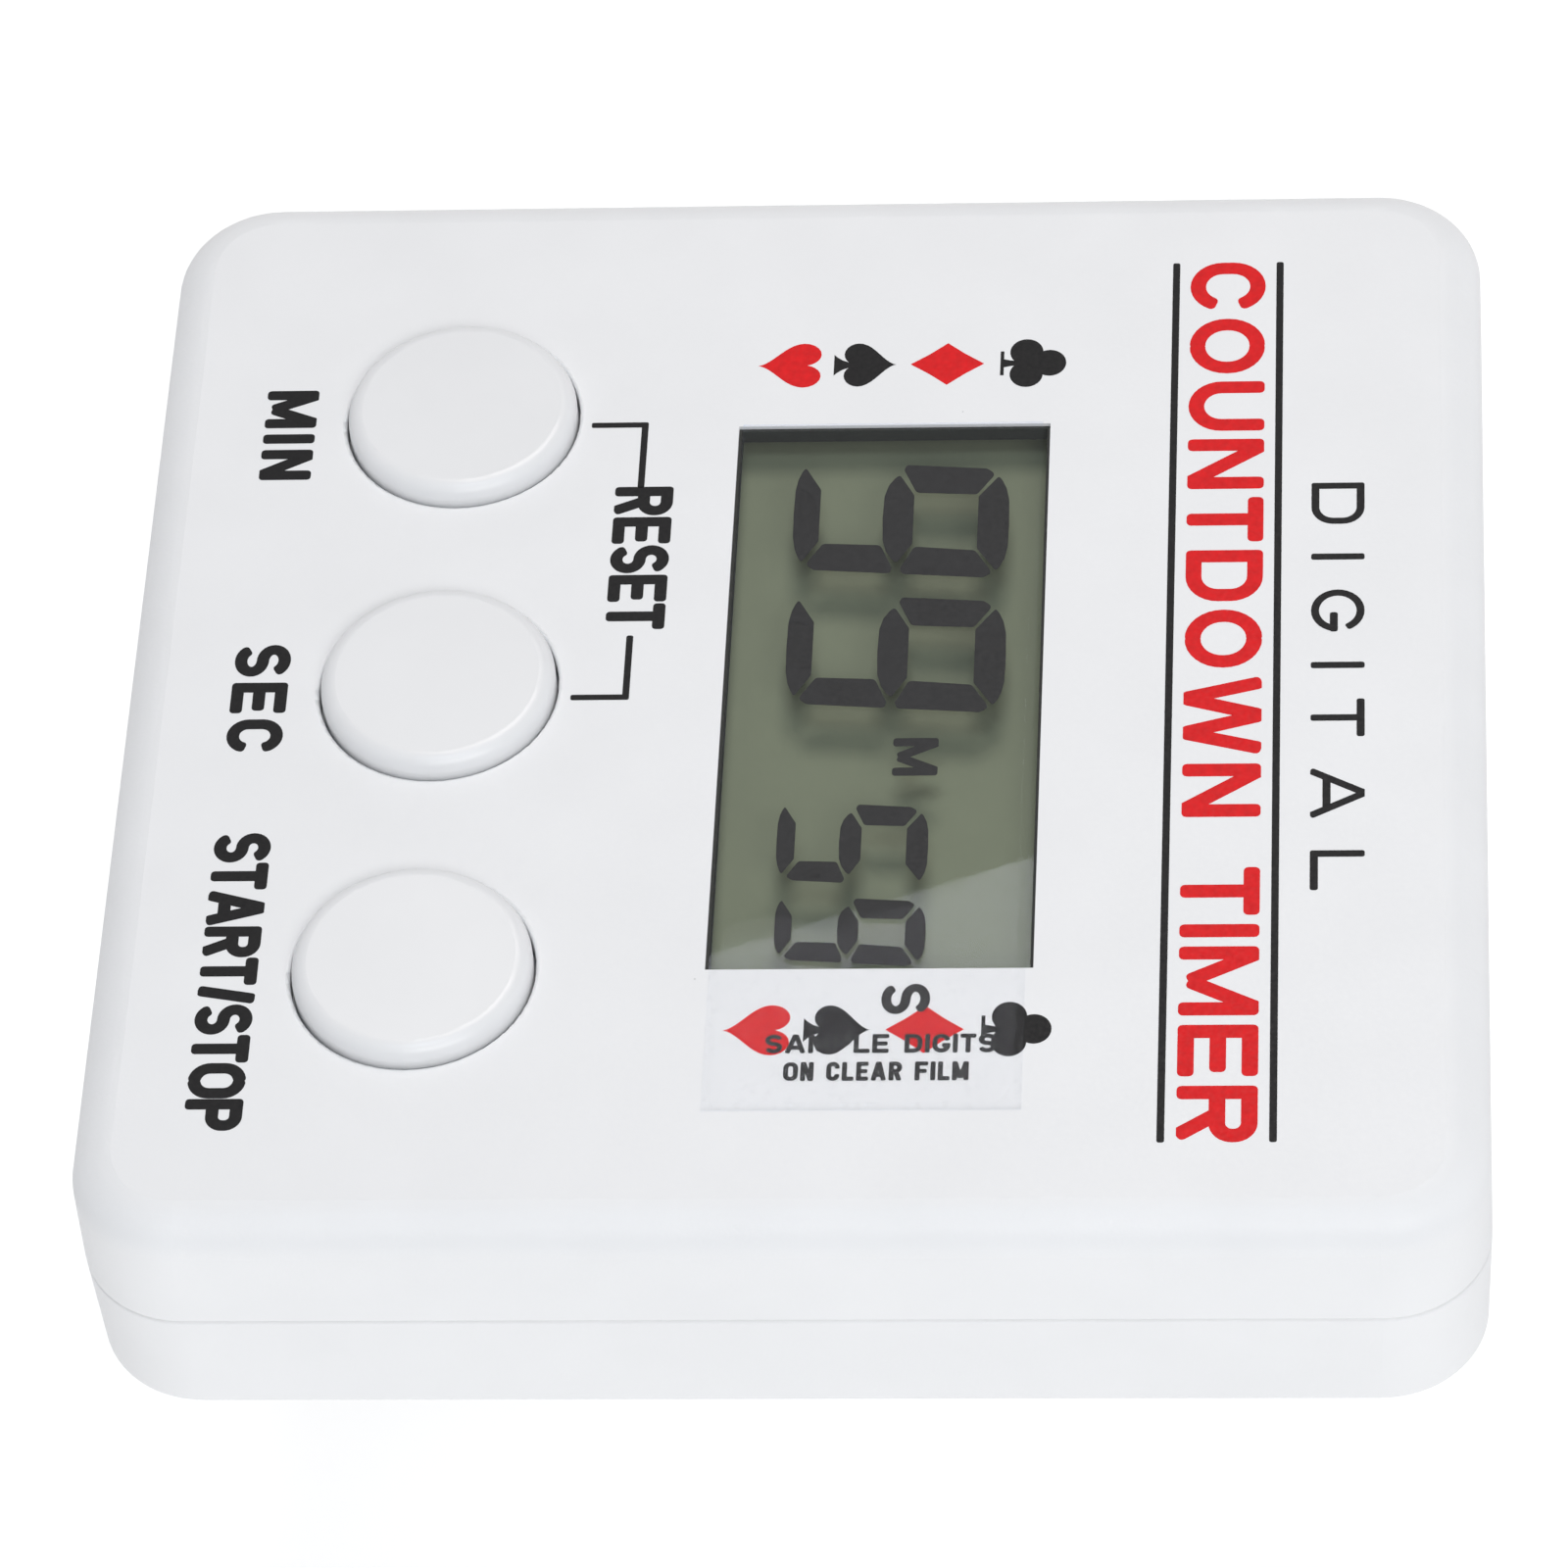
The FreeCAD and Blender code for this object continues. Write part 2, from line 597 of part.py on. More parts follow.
def comb_pads(x, y):
    """Two interleaved combs that a carbon pill bridges when it comes down."""
    z0 = BOARD_TOP - NEST
    pitch = 0.6
    finger_half_x = 0.15
    finger_half_y = 1.6
    stagger = 0.25
    bar_half_x = 2.1
    bar_half_y = 0.2
    bar_y = 1.9
    made = []
    for k in range(-3, 4):
        shift = stagger if k % 2 else -stagger
        made.append(block_at(x + pitch * k, y + shift, finger_half_x, finger_half_y, z0, PAD_TOP))
    for side in (-1, 1):
        made.append(block_at(x, y + side * bar_y, bar_half_x, bar_half_y, z0, PAD_TOP))
    return made


def make_chip_blob():
    """A low dome of resin over the chip."""
    r = 5.0
    h = 1.3
    y = -2.0
    ball_r = (r ** 2 + h ** 2) / (2 * h)
    bottom = BOARD_BOTTOM - h
    ball = Part.makeSphere(ball_r, V(0, y, bottom + ball_r))
    return ball.common(block_at(0, y, r + OVER, r + OVER, bottom - OVER, BOARD_BOTTOM))


def make_quartz_crystal():
    """A small round can that lies under the board, with two bent leads."""
    can_r = 1.0
    can_x0 = -1.0
    can_l = 6.0
    y = -12.0
    axis_z = BOARD_BOTTOM - can_r - 0.1
    bend_x = 7.0
    lead_r = 0.15
    lead_y = 0.4
    can = rod(can_x0 + can_l / 2, can_l / 2, y, axis_z, can_r)
    leads = [wire_tube([(can_x0 + can_l - 0.1, y + dy, axis_z), (bend_x, y + dy, axis_z),
                        (bend_x, y + dy, BOARD_BOTTOM)], lead_r) for dy in (-lead_y, lead_y)]
    return fuse([can] + leads)


def make_inductor():
    """A drum core and the wire wound on it."""
    x = 9.0
    y = 5.0
    drum_r = 2.6
    neck_r = 1.2
    rim_t = 0.6
    height = 3.0
    z = BOARD_BOTTOM
    core = turned([(0, z), (drum_r, z), (drum_r, z - rim_t), (neck_r, z - rim_t),
                   (neck_r, z - height + rim_t), (drum_r, z - height + rim_t), (drum_r, z - height),
                   (0, z - height)], x, y)
    gap = 0.02
    winding = ring(x, y, z - height + rim_t + gap, z - rim_t - gap, neck_r + gap, drum_r - 0.2)
    return core, winding


def make_drive_transistor():
    """A small three-legged package."""
    z = BOARD_BOTTOM
    leg_half_x = 0.2
    leg_t = 0.25
    body = box(-9.5, -6.6, -12.7, -11.4, z - 1.1, z - 0.1)
    legs = [box(x - leg_half_x, x + leg_half_x, y0, y0 + 0.7, z - leg_t, z)
            for x, y0 in ((-9.0, -13.3), (-7.1, -13.3), (-8.05, -11.5))]
    return fuse([body] + legs)


def make_board_parts():
    """The parts soldered under the board. They hang down from its lower face."""
    core, winding = make_inductor()
    capacitor = (1.0, 0.6, 0.9)         # half length, half width, height
    resistor = (0.8, 0.4, 0.45)
    capacitor_spots = ((8.5, -8.0), (8.5, -5.5), (-9.0, 4.5), (-9.0, 7.0))
    resistor_spots = ((-9.0, -6.0), (-9.0, -4.2), (3.5, 9.0), (0.5, 9.0), (-2.5, 9.0))

    def chips(size, spots):
        half_x, half_y, h = size
        return Part.makeCompound([block_at(x, y, half_x, half_y, BOARD_BOTTOM - h, BOARD_BOTTOM)
                                  for x, y in spots])

    return {
        "chip_blob": make_chip_blob(),
        "quartz_crystal": make_quartz_crystal(),
        "inductor_core": core,
        "inductor_winding": winding,
        "drive_transistor": make_drive_transistor(),
        "chip_capacitors": chips(capacitor, capacitor_spots),
        "chip_resistors": chips(resistor, resistor_spots),
    }


# Buttons and keypad

def make_button(x):
    """A hollow cap with a flange below the face, a key on the flange and a plunger in the middle."""
    cap = post(x, BUTTON_Y, FLANGE_Z0, BUTTON_TOP, BUTTON_R)
    cap = cap.makeFillet(BUTTON_EDGE_R, edges_at(cap, BUTTON_TOP))
    flange = post(x, BUTTON_Y, FLANGE_Z0, FLANGE_Z0 + FLANGE_T, FLANGE_R)
    key_end = COLLAR_R + 0.6
    key = box(x - KEY_W / 2, x + KEY_W / 2, BUTTON_Y + FLANGE_R - OVER, BUTTON_Y + key_end,
              FLANGE_Z0, FLANGE_Z0 + FLANGE_T)
    hollow = post(x, BUTTON_Y, FLANGE_Z0 - OVER, BUTTON_TOP - BUTTON_ROOF, BUTTON_R - BUTTON_WALL)
    plunger = post(x, BUTTON_Y, PLUNGER_Z, BUTTON_TOP - BUTTON_ROOF + BITE, PLUNGER_R)
    return fuse([fuse([cap, flange, key]).cut(hollow), plunger])


def make_dome(x):
    """One hollow dome: a thick middle over the pill, thin sloping sides and a foot on the web."""
    roof = PILL_Z + PILL_T
    web_r = DOME_R - 0.8
    foot_z = KEYPAD_TOP - 0.6
    return turned([(0, roof), (1.9, roof), (web_r, foot_z + 0.3), (web_r, foot_z), (DOME_R, foot_z),
                   (DOME_R - 0.1, KEYPAD_TOP), (2.7, DOME_TOP - 0.3), (2.3, DOME_TOP), (0, DOME_TOP)],
                  x, BUTTON_Y)


def make_rubber_keypad():
    """One web of silicone with a hollow dome under each button."""
    web = block_at(0, BUTTON_Y, KEYPAD_X, KEYPAD_Y, BOARD_TOP, KEYPAD_TOP)
    for x in BUTTON_XS.values():
        web = web.cut(post(x, BUTTON_Y, BOARD_TOP - OVER, KEYPAD_TOP + OVER, DOME_R - 0.8))
    return fuse([web] + [make_dome(x) for x in BUTTON_XS.values()])


def make_carbon_pill(x):
    return post(x, BUTTON_Y, PILL_Z, PILL_Z + PILL_T, PILL_R)


# Screws

def make_screw(x, y, seat_z, head_r, head_h, crest_r, length, pitch):
    """A pan head below seat_z, a cross recess in it, and a shank with ring threads above it."""
    thread_depth = 0.14
    root_r = crest_r - thread_depth
    bottom = seat_z - head_h
    outline = [(0, bottom), (head_r - 0.35, bottom), (head_r, bottom + 0.4), (head_r, seat_z),
               (root_r, seat_z)]
    tip = 0.8
    z = seat_z + pitch
    while z < seat_z + length - 1.5 * tip:
        outline += [(root_r, z - 0.3 * pitch), (crest_r, z), (root_r, z + 0.3 * pitch)]
        z += pitch
    outline += [(root_r, seat_z + length - tip), (0, seat_z + length)]
    screw = turned(outline, x, y)
    arm = head_r * 0.6
    slot = head_r * 0.13
    depth = head_h * 0.6
    cross = fuse([block_at(x, y, arm, slot, bottom - OVER, bottom + depth),
                  block_at(x, y, slot, arm, bottom - OVER, bottom + depth)])
    return screw.cut(cross)


def make_board_screws():
    return Part.makeCompound([make_screw(x, y, BOARD_BOTTOM, 1.4, 0.95, BOARD_SCREW_R, BOARD_SCREW_L, 0.5)
                              for x, y in BOARD_SCREWS])


def make_case_screws():
    return Part.makeCompound([make_screw(x, y, CASE_SCREW_SEAT, 1.95, 1.3, CASE_SCREW_R, CASE_SCREW_L, 0.8)
                              for x, y in CORNERS])


# Power and sound

def make_button_cell():
    """A can with a rolled lower edge, and the smaller lid of the other pole on top."""
    z = CELL_Z
    r = CELL_R
    can_h = 4.95
    lid_r = r - 1.1
    return turned([(0, z), (r - 0.4, z), (r - 0.12, z + 0.12), (r, z + 0.4), (r, z + can_h - 0.25),
                   (r - 0.25, z + can_h), (lid_r + 0.2, z + can_h), (lid_r + 0.15, z + CELL_H - 0.1),
                   (lid_r, z + CELL_H), (0, z + CELL_H)], CELL_X, CELL_Y)


def make_battery_contacts():
    """A spring leaf from the board down onto the cell's lid, and an angle against the can's side."""
    z = BOARD_BOTTOM
    top = CELL_Z + CELL_H
    t = 0.2
    half_x = 1.5
    leaf = extruded_x([(10.4, z), (8.0, z), (3.2, top + t), (0.9, top + t), (0.2, top + 2 * t),
                       (0.1, top + 1.25 * t), (0.8, top), (3.2, top), (8.0, z - t), (10.4, z - t)],
                      CELL_X - half_x, CELL_X + half_x)
    inner = CELL_X + CELL_R + 0.02
    leg_bottom = 3.7
    foot_l = 3.0
    leg = box(inner, inner + t, CELL_Y - half_x, CELL_Y + half_x, leg_bottom, z)
    foot = box(inner, inner + foot_l, CELL_Y - half_x, CELL_Y + half_x, z - t, z)
    return {"battery_negative_contact": leaf, "battery_positive_contact": fuse([leg, foot])}


def make_battery_door():
    """A coin-slot cap: a disc flush with the back, a neck round the cell and three bayonet lugs."""
    edge_r = 0.25
    neck_t = 0.75
    slot_half_x = 5.5
    slot_half_y = 0.8
    slot_depth = 0.7
    disc = post(CELL_X, CELL_Y, NEST, NEST + DOOR_T, DOOR_R)
    disc = disc.makeFillet(edge_r, edges_at(disc, NEST))
    neck = ring(CELL_X, CELL_Y, 1.0, LUG_Z1, NECK_R - neck_t, NECK_R)
    lugs = [sector(CELL_X, CELL_Y, LUG_Z0, LUG_Z1, NECK_R - 0.4, LUG_R, 120 * k, LUG_SPAN)
            for k in range(LUGS)]
    slot = rounded_plate(slot_half_x, slot_half_y, slot_half_y - 0.01, -OVER, NEST + slot_depth,
                         CELL_X, CELL_Y)
    return fuse([disc, neck] + lugs).cut(slot)


def make_magnet(side):
    return post(side * MAGNET_X, MAGNET_Y, NEST, NEST + MAGNET_T, MAGNET_R)


def make_buzzer():
    """A brass plate with a ceramic disc on it, and a lead from each up to the board."""
    ceramic_z = BUZZER_Z + BUZZER_PLATE_T
    top = ceramic_z + CERAMIC_T
    red_x = BUZZER_X + 2.0
    red_y = 3.5
    red_end = (16.0, -3.5)
    red_level = 5.0
    black_x = BUZZER_X + 6.4
    black_end = (18.5, -6.0)
    black_level = 4.6
    red = wire_tube([(red_x, red_y, top), (red_x, red_y, red_level), (*red_end, red_level),
                     (*red_end, BOARD_BOTTOM)], LEAD_R)
    black = wire_tube([(black_x, BUZZER_Y, ceramic_z), (black_x, BUZZER_Y, black_level),
                       (*black_end, black_level), (*black_end, BOARD_BOTTOM)], LEAD_R)
    return {
        "buzzer_plate": post(BUZZER_X, BUZZER_Y, BUZZER_Z, ceramic_z, BUZZER_R),
        "buzzer_ceramic": post(BUZZER_X, BUZZER_Y, ceramic_z, top, CERAMIC_R),
        "buzzer_lead_red": red,
        "buzzer_lead_black": black,
    }


# Stand

def make_stand():
    """A flat leg with round lower corners, a barrel at its top and a pin at each end of the barrel."""
    half_y = (HINGE_Y - STAND_Y0) / 2
    corner_r = 3.0
    top = STAND_Z0 + STAND_T
    leg = rounded_plate(STAND_X, half_y, corner_r, STAND_Z0, top, 0, STAND_Y0 + half_y)
    square_top = box(-STAND_X, STAND_X, HINGE_Y - 2 * corner_r, HINGE_Y, STAND_Z0, top)
    barrel = rod(0, STAND_X, HINGE_Y, HINGE_Z, BARREL_R)
    pins = rod(0, STAND_X + 1.7, HINGE_Y, HINGE_Z, HINGE_PIN_R)
    groove_half_x = 6.0
    groove_half_y = 0.4
    groove_depth = 0.35
    groove_pitch = 1.6
    grooves = [block_at(0, STAND_Y0 + 2.6 + k * groove_pitch, groove_half_x, groove_half_y,
                        0, STAND_Z0 + groove_depth) for k in range(3)]
    panel_y = -2.5
    panel = rounded_plate(7.0, 9.5, 1.5, 0, STAND_Z0 + 0.4, 0, panel_y)
    return fuse([leg, square_top, barrel, pins]).cut(Part.makeCompound(grooves + [panel]))


def main():
    save("front_case", make_front_case())
    save("back_case", make_back_case())
    save("window_lens", make_window_lens())
    save("lens_gasket", make_lens_gasket())
    save("protective_film", make_protective_film())
    groups = [make_lcd(), make_board_parts(), make_battery_contacts(), make_buzzer()]
    for group in groups:
        for name, shape in group.items():
            save(name, shape)
    save("circuit_board", make_circuit_board())
    save("rubber_keypad", make_rubber_keypad())
    for name, x in BUTTON_XS.items():
        save(name + "_button", make_button(x))
        save("carbon_pill_" + name, make_carbon_pill(x))
    save("board_screws", make_board_screws())
    save("case_screws", make_case_screws())
    save("button_cell", make_button_cell())
    save("battery_door", make_battery_door())
    save("stand", make_stand())
    save("magnet_left", make_magnet(-1))
    save("magnet_right", make_magnet(1))


main()
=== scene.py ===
import json
import math

import bmesh
import bpy
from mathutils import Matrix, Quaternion, Vector


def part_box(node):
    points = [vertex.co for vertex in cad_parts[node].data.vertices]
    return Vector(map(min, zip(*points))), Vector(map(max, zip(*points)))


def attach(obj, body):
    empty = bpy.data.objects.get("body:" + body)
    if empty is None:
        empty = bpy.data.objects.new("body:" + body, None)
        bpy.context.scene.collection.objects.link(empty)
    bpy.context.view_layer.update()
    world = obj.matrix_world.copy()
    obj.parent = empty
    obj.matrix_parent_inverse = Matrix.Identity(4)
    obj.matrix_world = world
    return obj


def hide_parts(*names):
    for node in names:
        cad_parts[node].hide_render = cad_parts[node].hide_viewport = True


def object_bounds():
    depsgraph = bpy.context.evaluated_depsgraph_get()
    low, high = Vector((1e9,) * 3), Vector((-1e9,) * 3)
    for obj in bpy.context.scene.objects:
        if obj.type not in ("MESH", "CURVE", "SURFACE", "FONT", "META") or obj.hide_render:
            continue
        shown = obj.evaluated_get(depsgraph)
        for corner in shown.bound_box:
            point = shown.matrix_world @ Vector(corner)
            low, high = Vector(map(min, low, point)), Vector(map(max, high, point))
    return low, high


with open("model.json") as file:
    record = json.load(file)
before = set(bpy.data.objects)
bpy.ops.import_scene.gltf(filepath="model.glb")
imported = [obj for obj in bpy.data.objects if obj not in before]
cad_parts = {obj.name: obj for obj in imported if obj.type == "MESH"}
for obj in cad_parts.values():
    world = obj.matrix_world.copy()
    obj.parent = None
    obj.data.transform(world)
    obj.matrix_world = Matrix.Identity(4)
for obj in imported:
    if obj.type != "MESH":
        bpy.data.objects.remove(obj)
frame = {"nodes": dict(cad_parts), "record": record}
cad_low, cad_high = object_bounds()

# A pocket countdown timer that lies on its back. The case, buttons, window and everything inside are CAD
# nodes. This script adds the printed legends, the clear film with its sample digits, and the materials.
#
# Lengths are millimetres unless a name or a comment says otherwise. MM turns them into metres.

MM = 0.001
NODES = frame["nodes"]
CASE_BODY = "case"


# Places, from the frame, in millimetres

def box_mm(node):
    low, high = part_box(node)
    return low / MM, high / MM


def middle_mm(node):
    low, high = box_mm(node)
    return (low + high) / 2


CASE_LOW, CASE_HIGH = (tuple(corner)[:2] for corner in box_mm("front_case"))
FACE_Z = box_mm("front_case")[1].z
FILM_LOW, FILM_HIGH = box_mm("protective_film")
MIN_AT = middle_mm("carbon_pill_min")
SEC_AT = middle_mm("carbon_pill_sec")
START_AT = middle_mm("carbon_pill_start_stop")
FACE_AT = middle_mm("front_case")
WINDOW_EDGE_X = box_mm("lens_gasket")[1].x

# Printing

INK_T = 0.012
LETTER_CORNER = 0.3         # round at a stroke's end, as a share of its width
ARC_STEPS = 8               # points on a quarter turn
CLOSE = 0.001               # points nearer than this are one point


# Outlines. A point is (x, y) in millimetres, and an outline runs once round its shape.

def arc(cx, cy, rx, ry, start, end):
    """Points along an ellipse, from start to end in degrees."""
    steps = max(2, round(abs(end - start) / 90 * ARC_STEPS))
    angles = [math.radians(start + (end - start) * i / steps) for i in range(steps + 1)]
    return [(cx + rx * math.cos(a), cy + ry * math.sin(a)) for a in angles]


def stroke(path, width):
    """The outline of a pen stroke along path, with square ends whose corners are rounded."""
    corner = width * LETTER_CORNER
    ends = (Vector(path[0]), Vector(path[-1]))
    inner = [Vector(p) for p in path[1:-1] if min((Vector(p) - e).length for e in ends) > corner]
    points = [ends[0]] + inner + [ends[1]]
    points = [p for i, p in enumerate(points) if i == 0 or (p - points[i - 1]).length > CLOSE]
    half = width / 2
    left = []
    right = []
    for i, point in enumerate(points):
        before = (point - points[i - 1]).normalized() if i else None
        after = (points[i + 1] - point).normalized() if i < len(points) - 1 else None
        along = ((before or after) + (after or before)).normalized()
        side = Vector((-along.y, along.x))
        reach = half / max(0.5, along.dot(before or after))
        left.append(point + side * reach)
        right.append(point - side * reach)

    def end_cap(point, along):
        side = Vector((-along.y, along.x))
        cap = []
        for sign in (1, -1):
            centre = point - along * corner + side * sign * (half - corner)
            angles = (0, 30, 60, 90) if sign < 0 else (90, 60, 30, 0)
            for a in map(math.radians, angles):
                cap.append(centre + along * corner * math.cos(a) + side * sign * corner * math.sin(a))
        return cap

    finish = end_cap(points[-1], (points[-1] - points[-2]).normalized())
    begin = end_cap(points[0], (points[0] - points[1]).normalized())
    return left[1:-1] + finish + right[1:-1][::-1] + begin


def rounded(points, radius):
    """An outline's corners rounded by a circle of the given radius, or less where a side is short."""
    made = []
    count = len(points)
    for i in range(count):
        before, corner, after = (Vector(points[(i + k) % count]) for k in (-1, 0, 1))
        u = before - corner
        w = after - corner
        half_angle = u.angle(w) / 2
        cut = min(radius / math.tan(half_angle), 0.49 * u.length, 0.49 * w.length)
        start = corner + u.normalized() * cut
        end = corner + w.normalized() * cut
        for k in range(5):
            t = k / 4
            made.append((1 - t) ** 2 * start + 2 * t * (1 - t) * corner + t * t * end)
    return made


# Meshes. They are made in millimetres and scaled at the end.

def prism_mesh(outlines, z0, z1):
    """One mesh with a closed prism for each outline."""
    shape = bmesh.new()
    for outline in outlines:
        low = [shape.verts.new((x, y, z0)) for x, y in outline]
        high = [shape.verts.new((x, y, z1)) for x, y in outline]
        shape.faces.new(low[::-1])
        shape.faces.new(high)
        count = len(outline)
        for i in range(count):
            j = (i + 1) % count
            shape.faces.new((low[i], low[j], high[j], high[i]))
    bmesh.ops.recalc_face_normals(shape, faces=shape.faces)
    mesh = bpy.data.meshes.new("prisms")
    shape.to_mesh(mesh)
    shape.free()
    return mesh


def box_mesh(low, high):
    return prism_mesh([[(low[0], low[1]), (high[0], low[1]), (high[0], high[1]), (low[0], high[1])]],
                      low[2], high[2])


def merged(outlines, z0, z1, clip_low, clip_high):
    """Overlapping outlines as one clean solid, cut off outside the clip rectangle."""
    body = bpy.data.objects.new("merge_body", prism_mesh(outlines, z0, z1))
    clip = bpy.data.objects.new("merge_clip", box_mesh((*clip_low, z0 - 1), (*clip_high, z1 + 1)))
    for ob in (body, clip):
        bpy.context.scene.collection.objects.link(ob)
    cut = body.modifiers.new("clip", "BOOLEAN")
    cut.operation = "INTERSECT"
    cut.solver = "EXACT"
    cut.use_self = True
    cut.object = clip
    graph = bpy.context.evaluated_depsgraph_get()
    mesh = bpy.data.meshes.new_from_object(body.evaluated_get(graph), depsgraph=graph)
    for ob in (body, clip):
        bpy.data.objects.remove(ob)
    return mesh


def joined(meshes_at):
    """One mesh from (mesh, x, y) entries."""
    shape = bmesh.new()
    for mesh, x, y in meshes_at:
        first = len(shape.verts)
        shape.from_mesh(mesh)
        shape.verts.ensure_lookup_table()
        for vert in shape.verts[first:]:
            vert.co.x += x
            vert.co.y += y
    made = bpy.data.meshes.new("joined")
    shape.to_mesh(made)
    shape.free()
    return made


def piece(name, mesh, material, body=CASE_BODY):
    """An object of its own from a mesh in millimetres, riding on a body."""
    for vert in mesh.vertices:
        vert.co *= MM
    mesh.name = name
    mesh.materials.clear()
    mesh.materials.append(material)
    ob = bpy.data.objects.new(name, mesh)
    bpy.context.scene.collection.objects.link(ob)
    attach(ob, body)
    return ob


# Materials

class Finish:
    """A Principled material, and short calls for the nodes that drive it."""

    def __init__(self, name, metallic=0.0):
        self.material = bpy.data.materials.new(name)
        self.material.use_nodes = True
        self.nodes = self.material.node_tree.nodes
        self.links = self.material.node_tree.links
        self.shader = self.nodes["Principled BSDF"]
        self.shader.inputs["Metallic"].default_value = metallic
        self.place = self.nodes.new("ShaderNodeTexCoord").outputs["Object"]

    def stretched(self, x, y, z):
        """The place, stretched, for grain that runs one way."""
        node = self.nodes.new("ShaderNodeMapping")
        self.links.new(self.place, node.inputs["Vector"])
        node.inputs["Scale"].default_value = (x, y, z)
        return node.outputs[0]

    def noise(self, size, detail=2.0, place=None):
        """Noise whose features are about size millimetres across, from 0 to 1."""
        node = self.nodes.new("ShaderNodeTexNoise")
        self.links.new(place or self.place, node.inputs["Vector"])
        node.inputs["Scale"].default_value = 1 / (size * MM)
        node.inputs["Detail"].default_value = detail
        return node.outputs["Fac"]

    def specks(self, pitch, radius):
        """1 inside small round specks, pitch apart, and 0 elsewhere."""
        node = self.nodes.new("ShaderNodeTexVoronoi")
        self.links.new(self.place, node.inputs["Vector"])
        node.inputs["Scale"].default_value = 1 / (pitch * MM)
        return self.ranged(node.outputs["Distance"], radius / pitch, 0.6 * radius / pitch, 0, 1)

    def ranged(self, value, from_low, from_high, to_low, to_high):
        node = self.nodes.new("ShaderNodeMapRange")
        self.links.new(value, node.inputs["Value"])
        for socket, number in (("From Min", from_low), ("From Max", from_high),
                               ("To Min", to_low), ("To Max", to_high)):
            node.inputs[socket].default_value = number
        return node.outputs["Result"]

    def mixed(self, factor, first, second):
        """A colour between two, each a colour or a socket."""
        node = self.nodes.new("ShaderNodeMix")
        node.data_type = "RGBA"
        self.links.new(factor, node.inputs["Factor"])
        for socket, colour in (("A", first), ("B", second)):
            target = next(i for i in node.inputs if i.name == socket and i.type == "RGBA")
            if isinstance(colour, tuple):
                target.default_value = (*colour, 1)
            else:
                self.links.new(colour, target)
        return next(o for o in node.outputs if o.type == "RGBA")

    def product(self, first, second):
        node = self.nodes.new("ShaderNodeMath")
        node.operation = "MULTIPLY"
        self.links.new(first, node.inputs[0])
        self.links.new(second, node.inputs[1])
        return node.outputs[0]

    def blend(self, factor, first, second):
        """One shader fading into another."""
        node = self.nodes.new("ShaderNodeMixShader")
        self.links.new(factor, node.inputs[0])
        self.links.new(first, node.inputs[1])
        self.links.new(second, node.inputs[2])
        return node.outputs[0]

    def colour(self, socket):
        self.links.new(socket, self.shader.inputs["Base Color"])

    def roughness(self, socket, low, high):
        self.links.new(self.ranged(socket, 0.3, 0.7, low, high), self.shader.inputs["Roughness"])

    def bump(self, height, depth, below=None):
        """Raises the surface by depth millimetres where height is 1."""
        node = self.nodes.new("ShaderNodeBump")
        node.inputs["Strength"].default_value = 1.0
        node.inputs["Distance"].default_value = depth * MM
        self.links.new(height, node.inputs["Height"])
        if below is not None:
            self.links.new(below, node.inputs["Normal"])
        self.links.new(node.outputs["Normal"], self.shader.inputs["Normal"])
        return node.outputs["Normal"]


INK_SPECULAR = 0.17
DUST_RADIUS = 0.06          # specks of dust and small air bubbles
DUST_SHADE = 0.72
BUBBLE_PITCH = 5.0
BUBBLE_GLINT_SHARE = 0.35         # how white a bubble in the film is painted, a painted glint
# The white of the sheets' milkiness. As the even share it partly paints reflection of the surroundings, and
# in air bubbles it paints their glints.
MILK_AND_SHEEN = (0.9, 0.91, 0.92, 1)
GLOSS_TINT = (0.74, 0.8, 0.95, 1)
TOUCHING_FADE = 0.4         # how wide the edge is of the place where the film touches the face
PAD_RISE = (0.02, 0.03)     # a board's pads are higher than its mask by this


def shade(colour, by):
    return tuple(c * by for c in colour)


def moulded_plastic(name, colour, low, high, grain, depth, speck_pitch=9.0):
    """Moulded plastic: faint mottling, a spark-eroded grain, and now and then a speck of dust."""
    f = Finish(name)
    mottle = f.ranged(f.noise(6.0, 4.0), 0.3, 0.7, 0, 1)
    base = f.mixed(mottle, shade(colour, 0.985), shade(colour, 1.012))
    f.colour(f.mixed(f.specks(speck_pitch, DUST_RADIUS), base, shade(colour, DUST_SHADE)))
    fine = f.noise(grain, 3.0)
    f.roughness(fine, low, high)
    coarse = f.bump(f.noise(grain * 7, 2.0), depth * 0.8)
    f.bump(fine, depth, coarse)
    return f.material


def ink(name, colour):
    """Pad-printed ink: slightly uneven in tone, with tiny pinholes."""
    f = Finish(name)
    f.shader.inputs["Specular IOR Level"].default_value = INK_SPECULAR
    f.colour(f.mixed(f.noise(0.35, 4.0), shade(colour, 0.8), shade(colour, 1.25)))
    f.roughness(f.noise(0.2, 3.0), 0.42, 0.6)
    f.bump(f.noise(0.12, 3.0), 0.003)
    return f.material


def rubber(name, colour, grain=0.12):
    f = Finish(name)
    f.colour(f.mixed(f.noise(1.5, 4.0), shade(colour, 0.9), shade(colour, 1.1)))
    f.roughness(f.noise(0.3), 0.65, 0.85)
    f.bump(f.noise(grain, 3.0), 0.006)
    return f.material


def metal(name, colour, low, high, brushed=False):
    """Plated or rolled metal. Brushed metal has its grain along X."""
    f = Finish(name, metallic=1.0)
    place = f.stretched(0.05, 1, 1) if brushed else None
    grain = f.noise(0.08, 4.0, place)
    f.colour(f.mixed(f.noise(1.2, 3.0), shade(colour, 0.88), shade(colour, 1.05)))
    f.roughness(grain, low, high)
    f.bump(grain, 0.002)
    return f.material


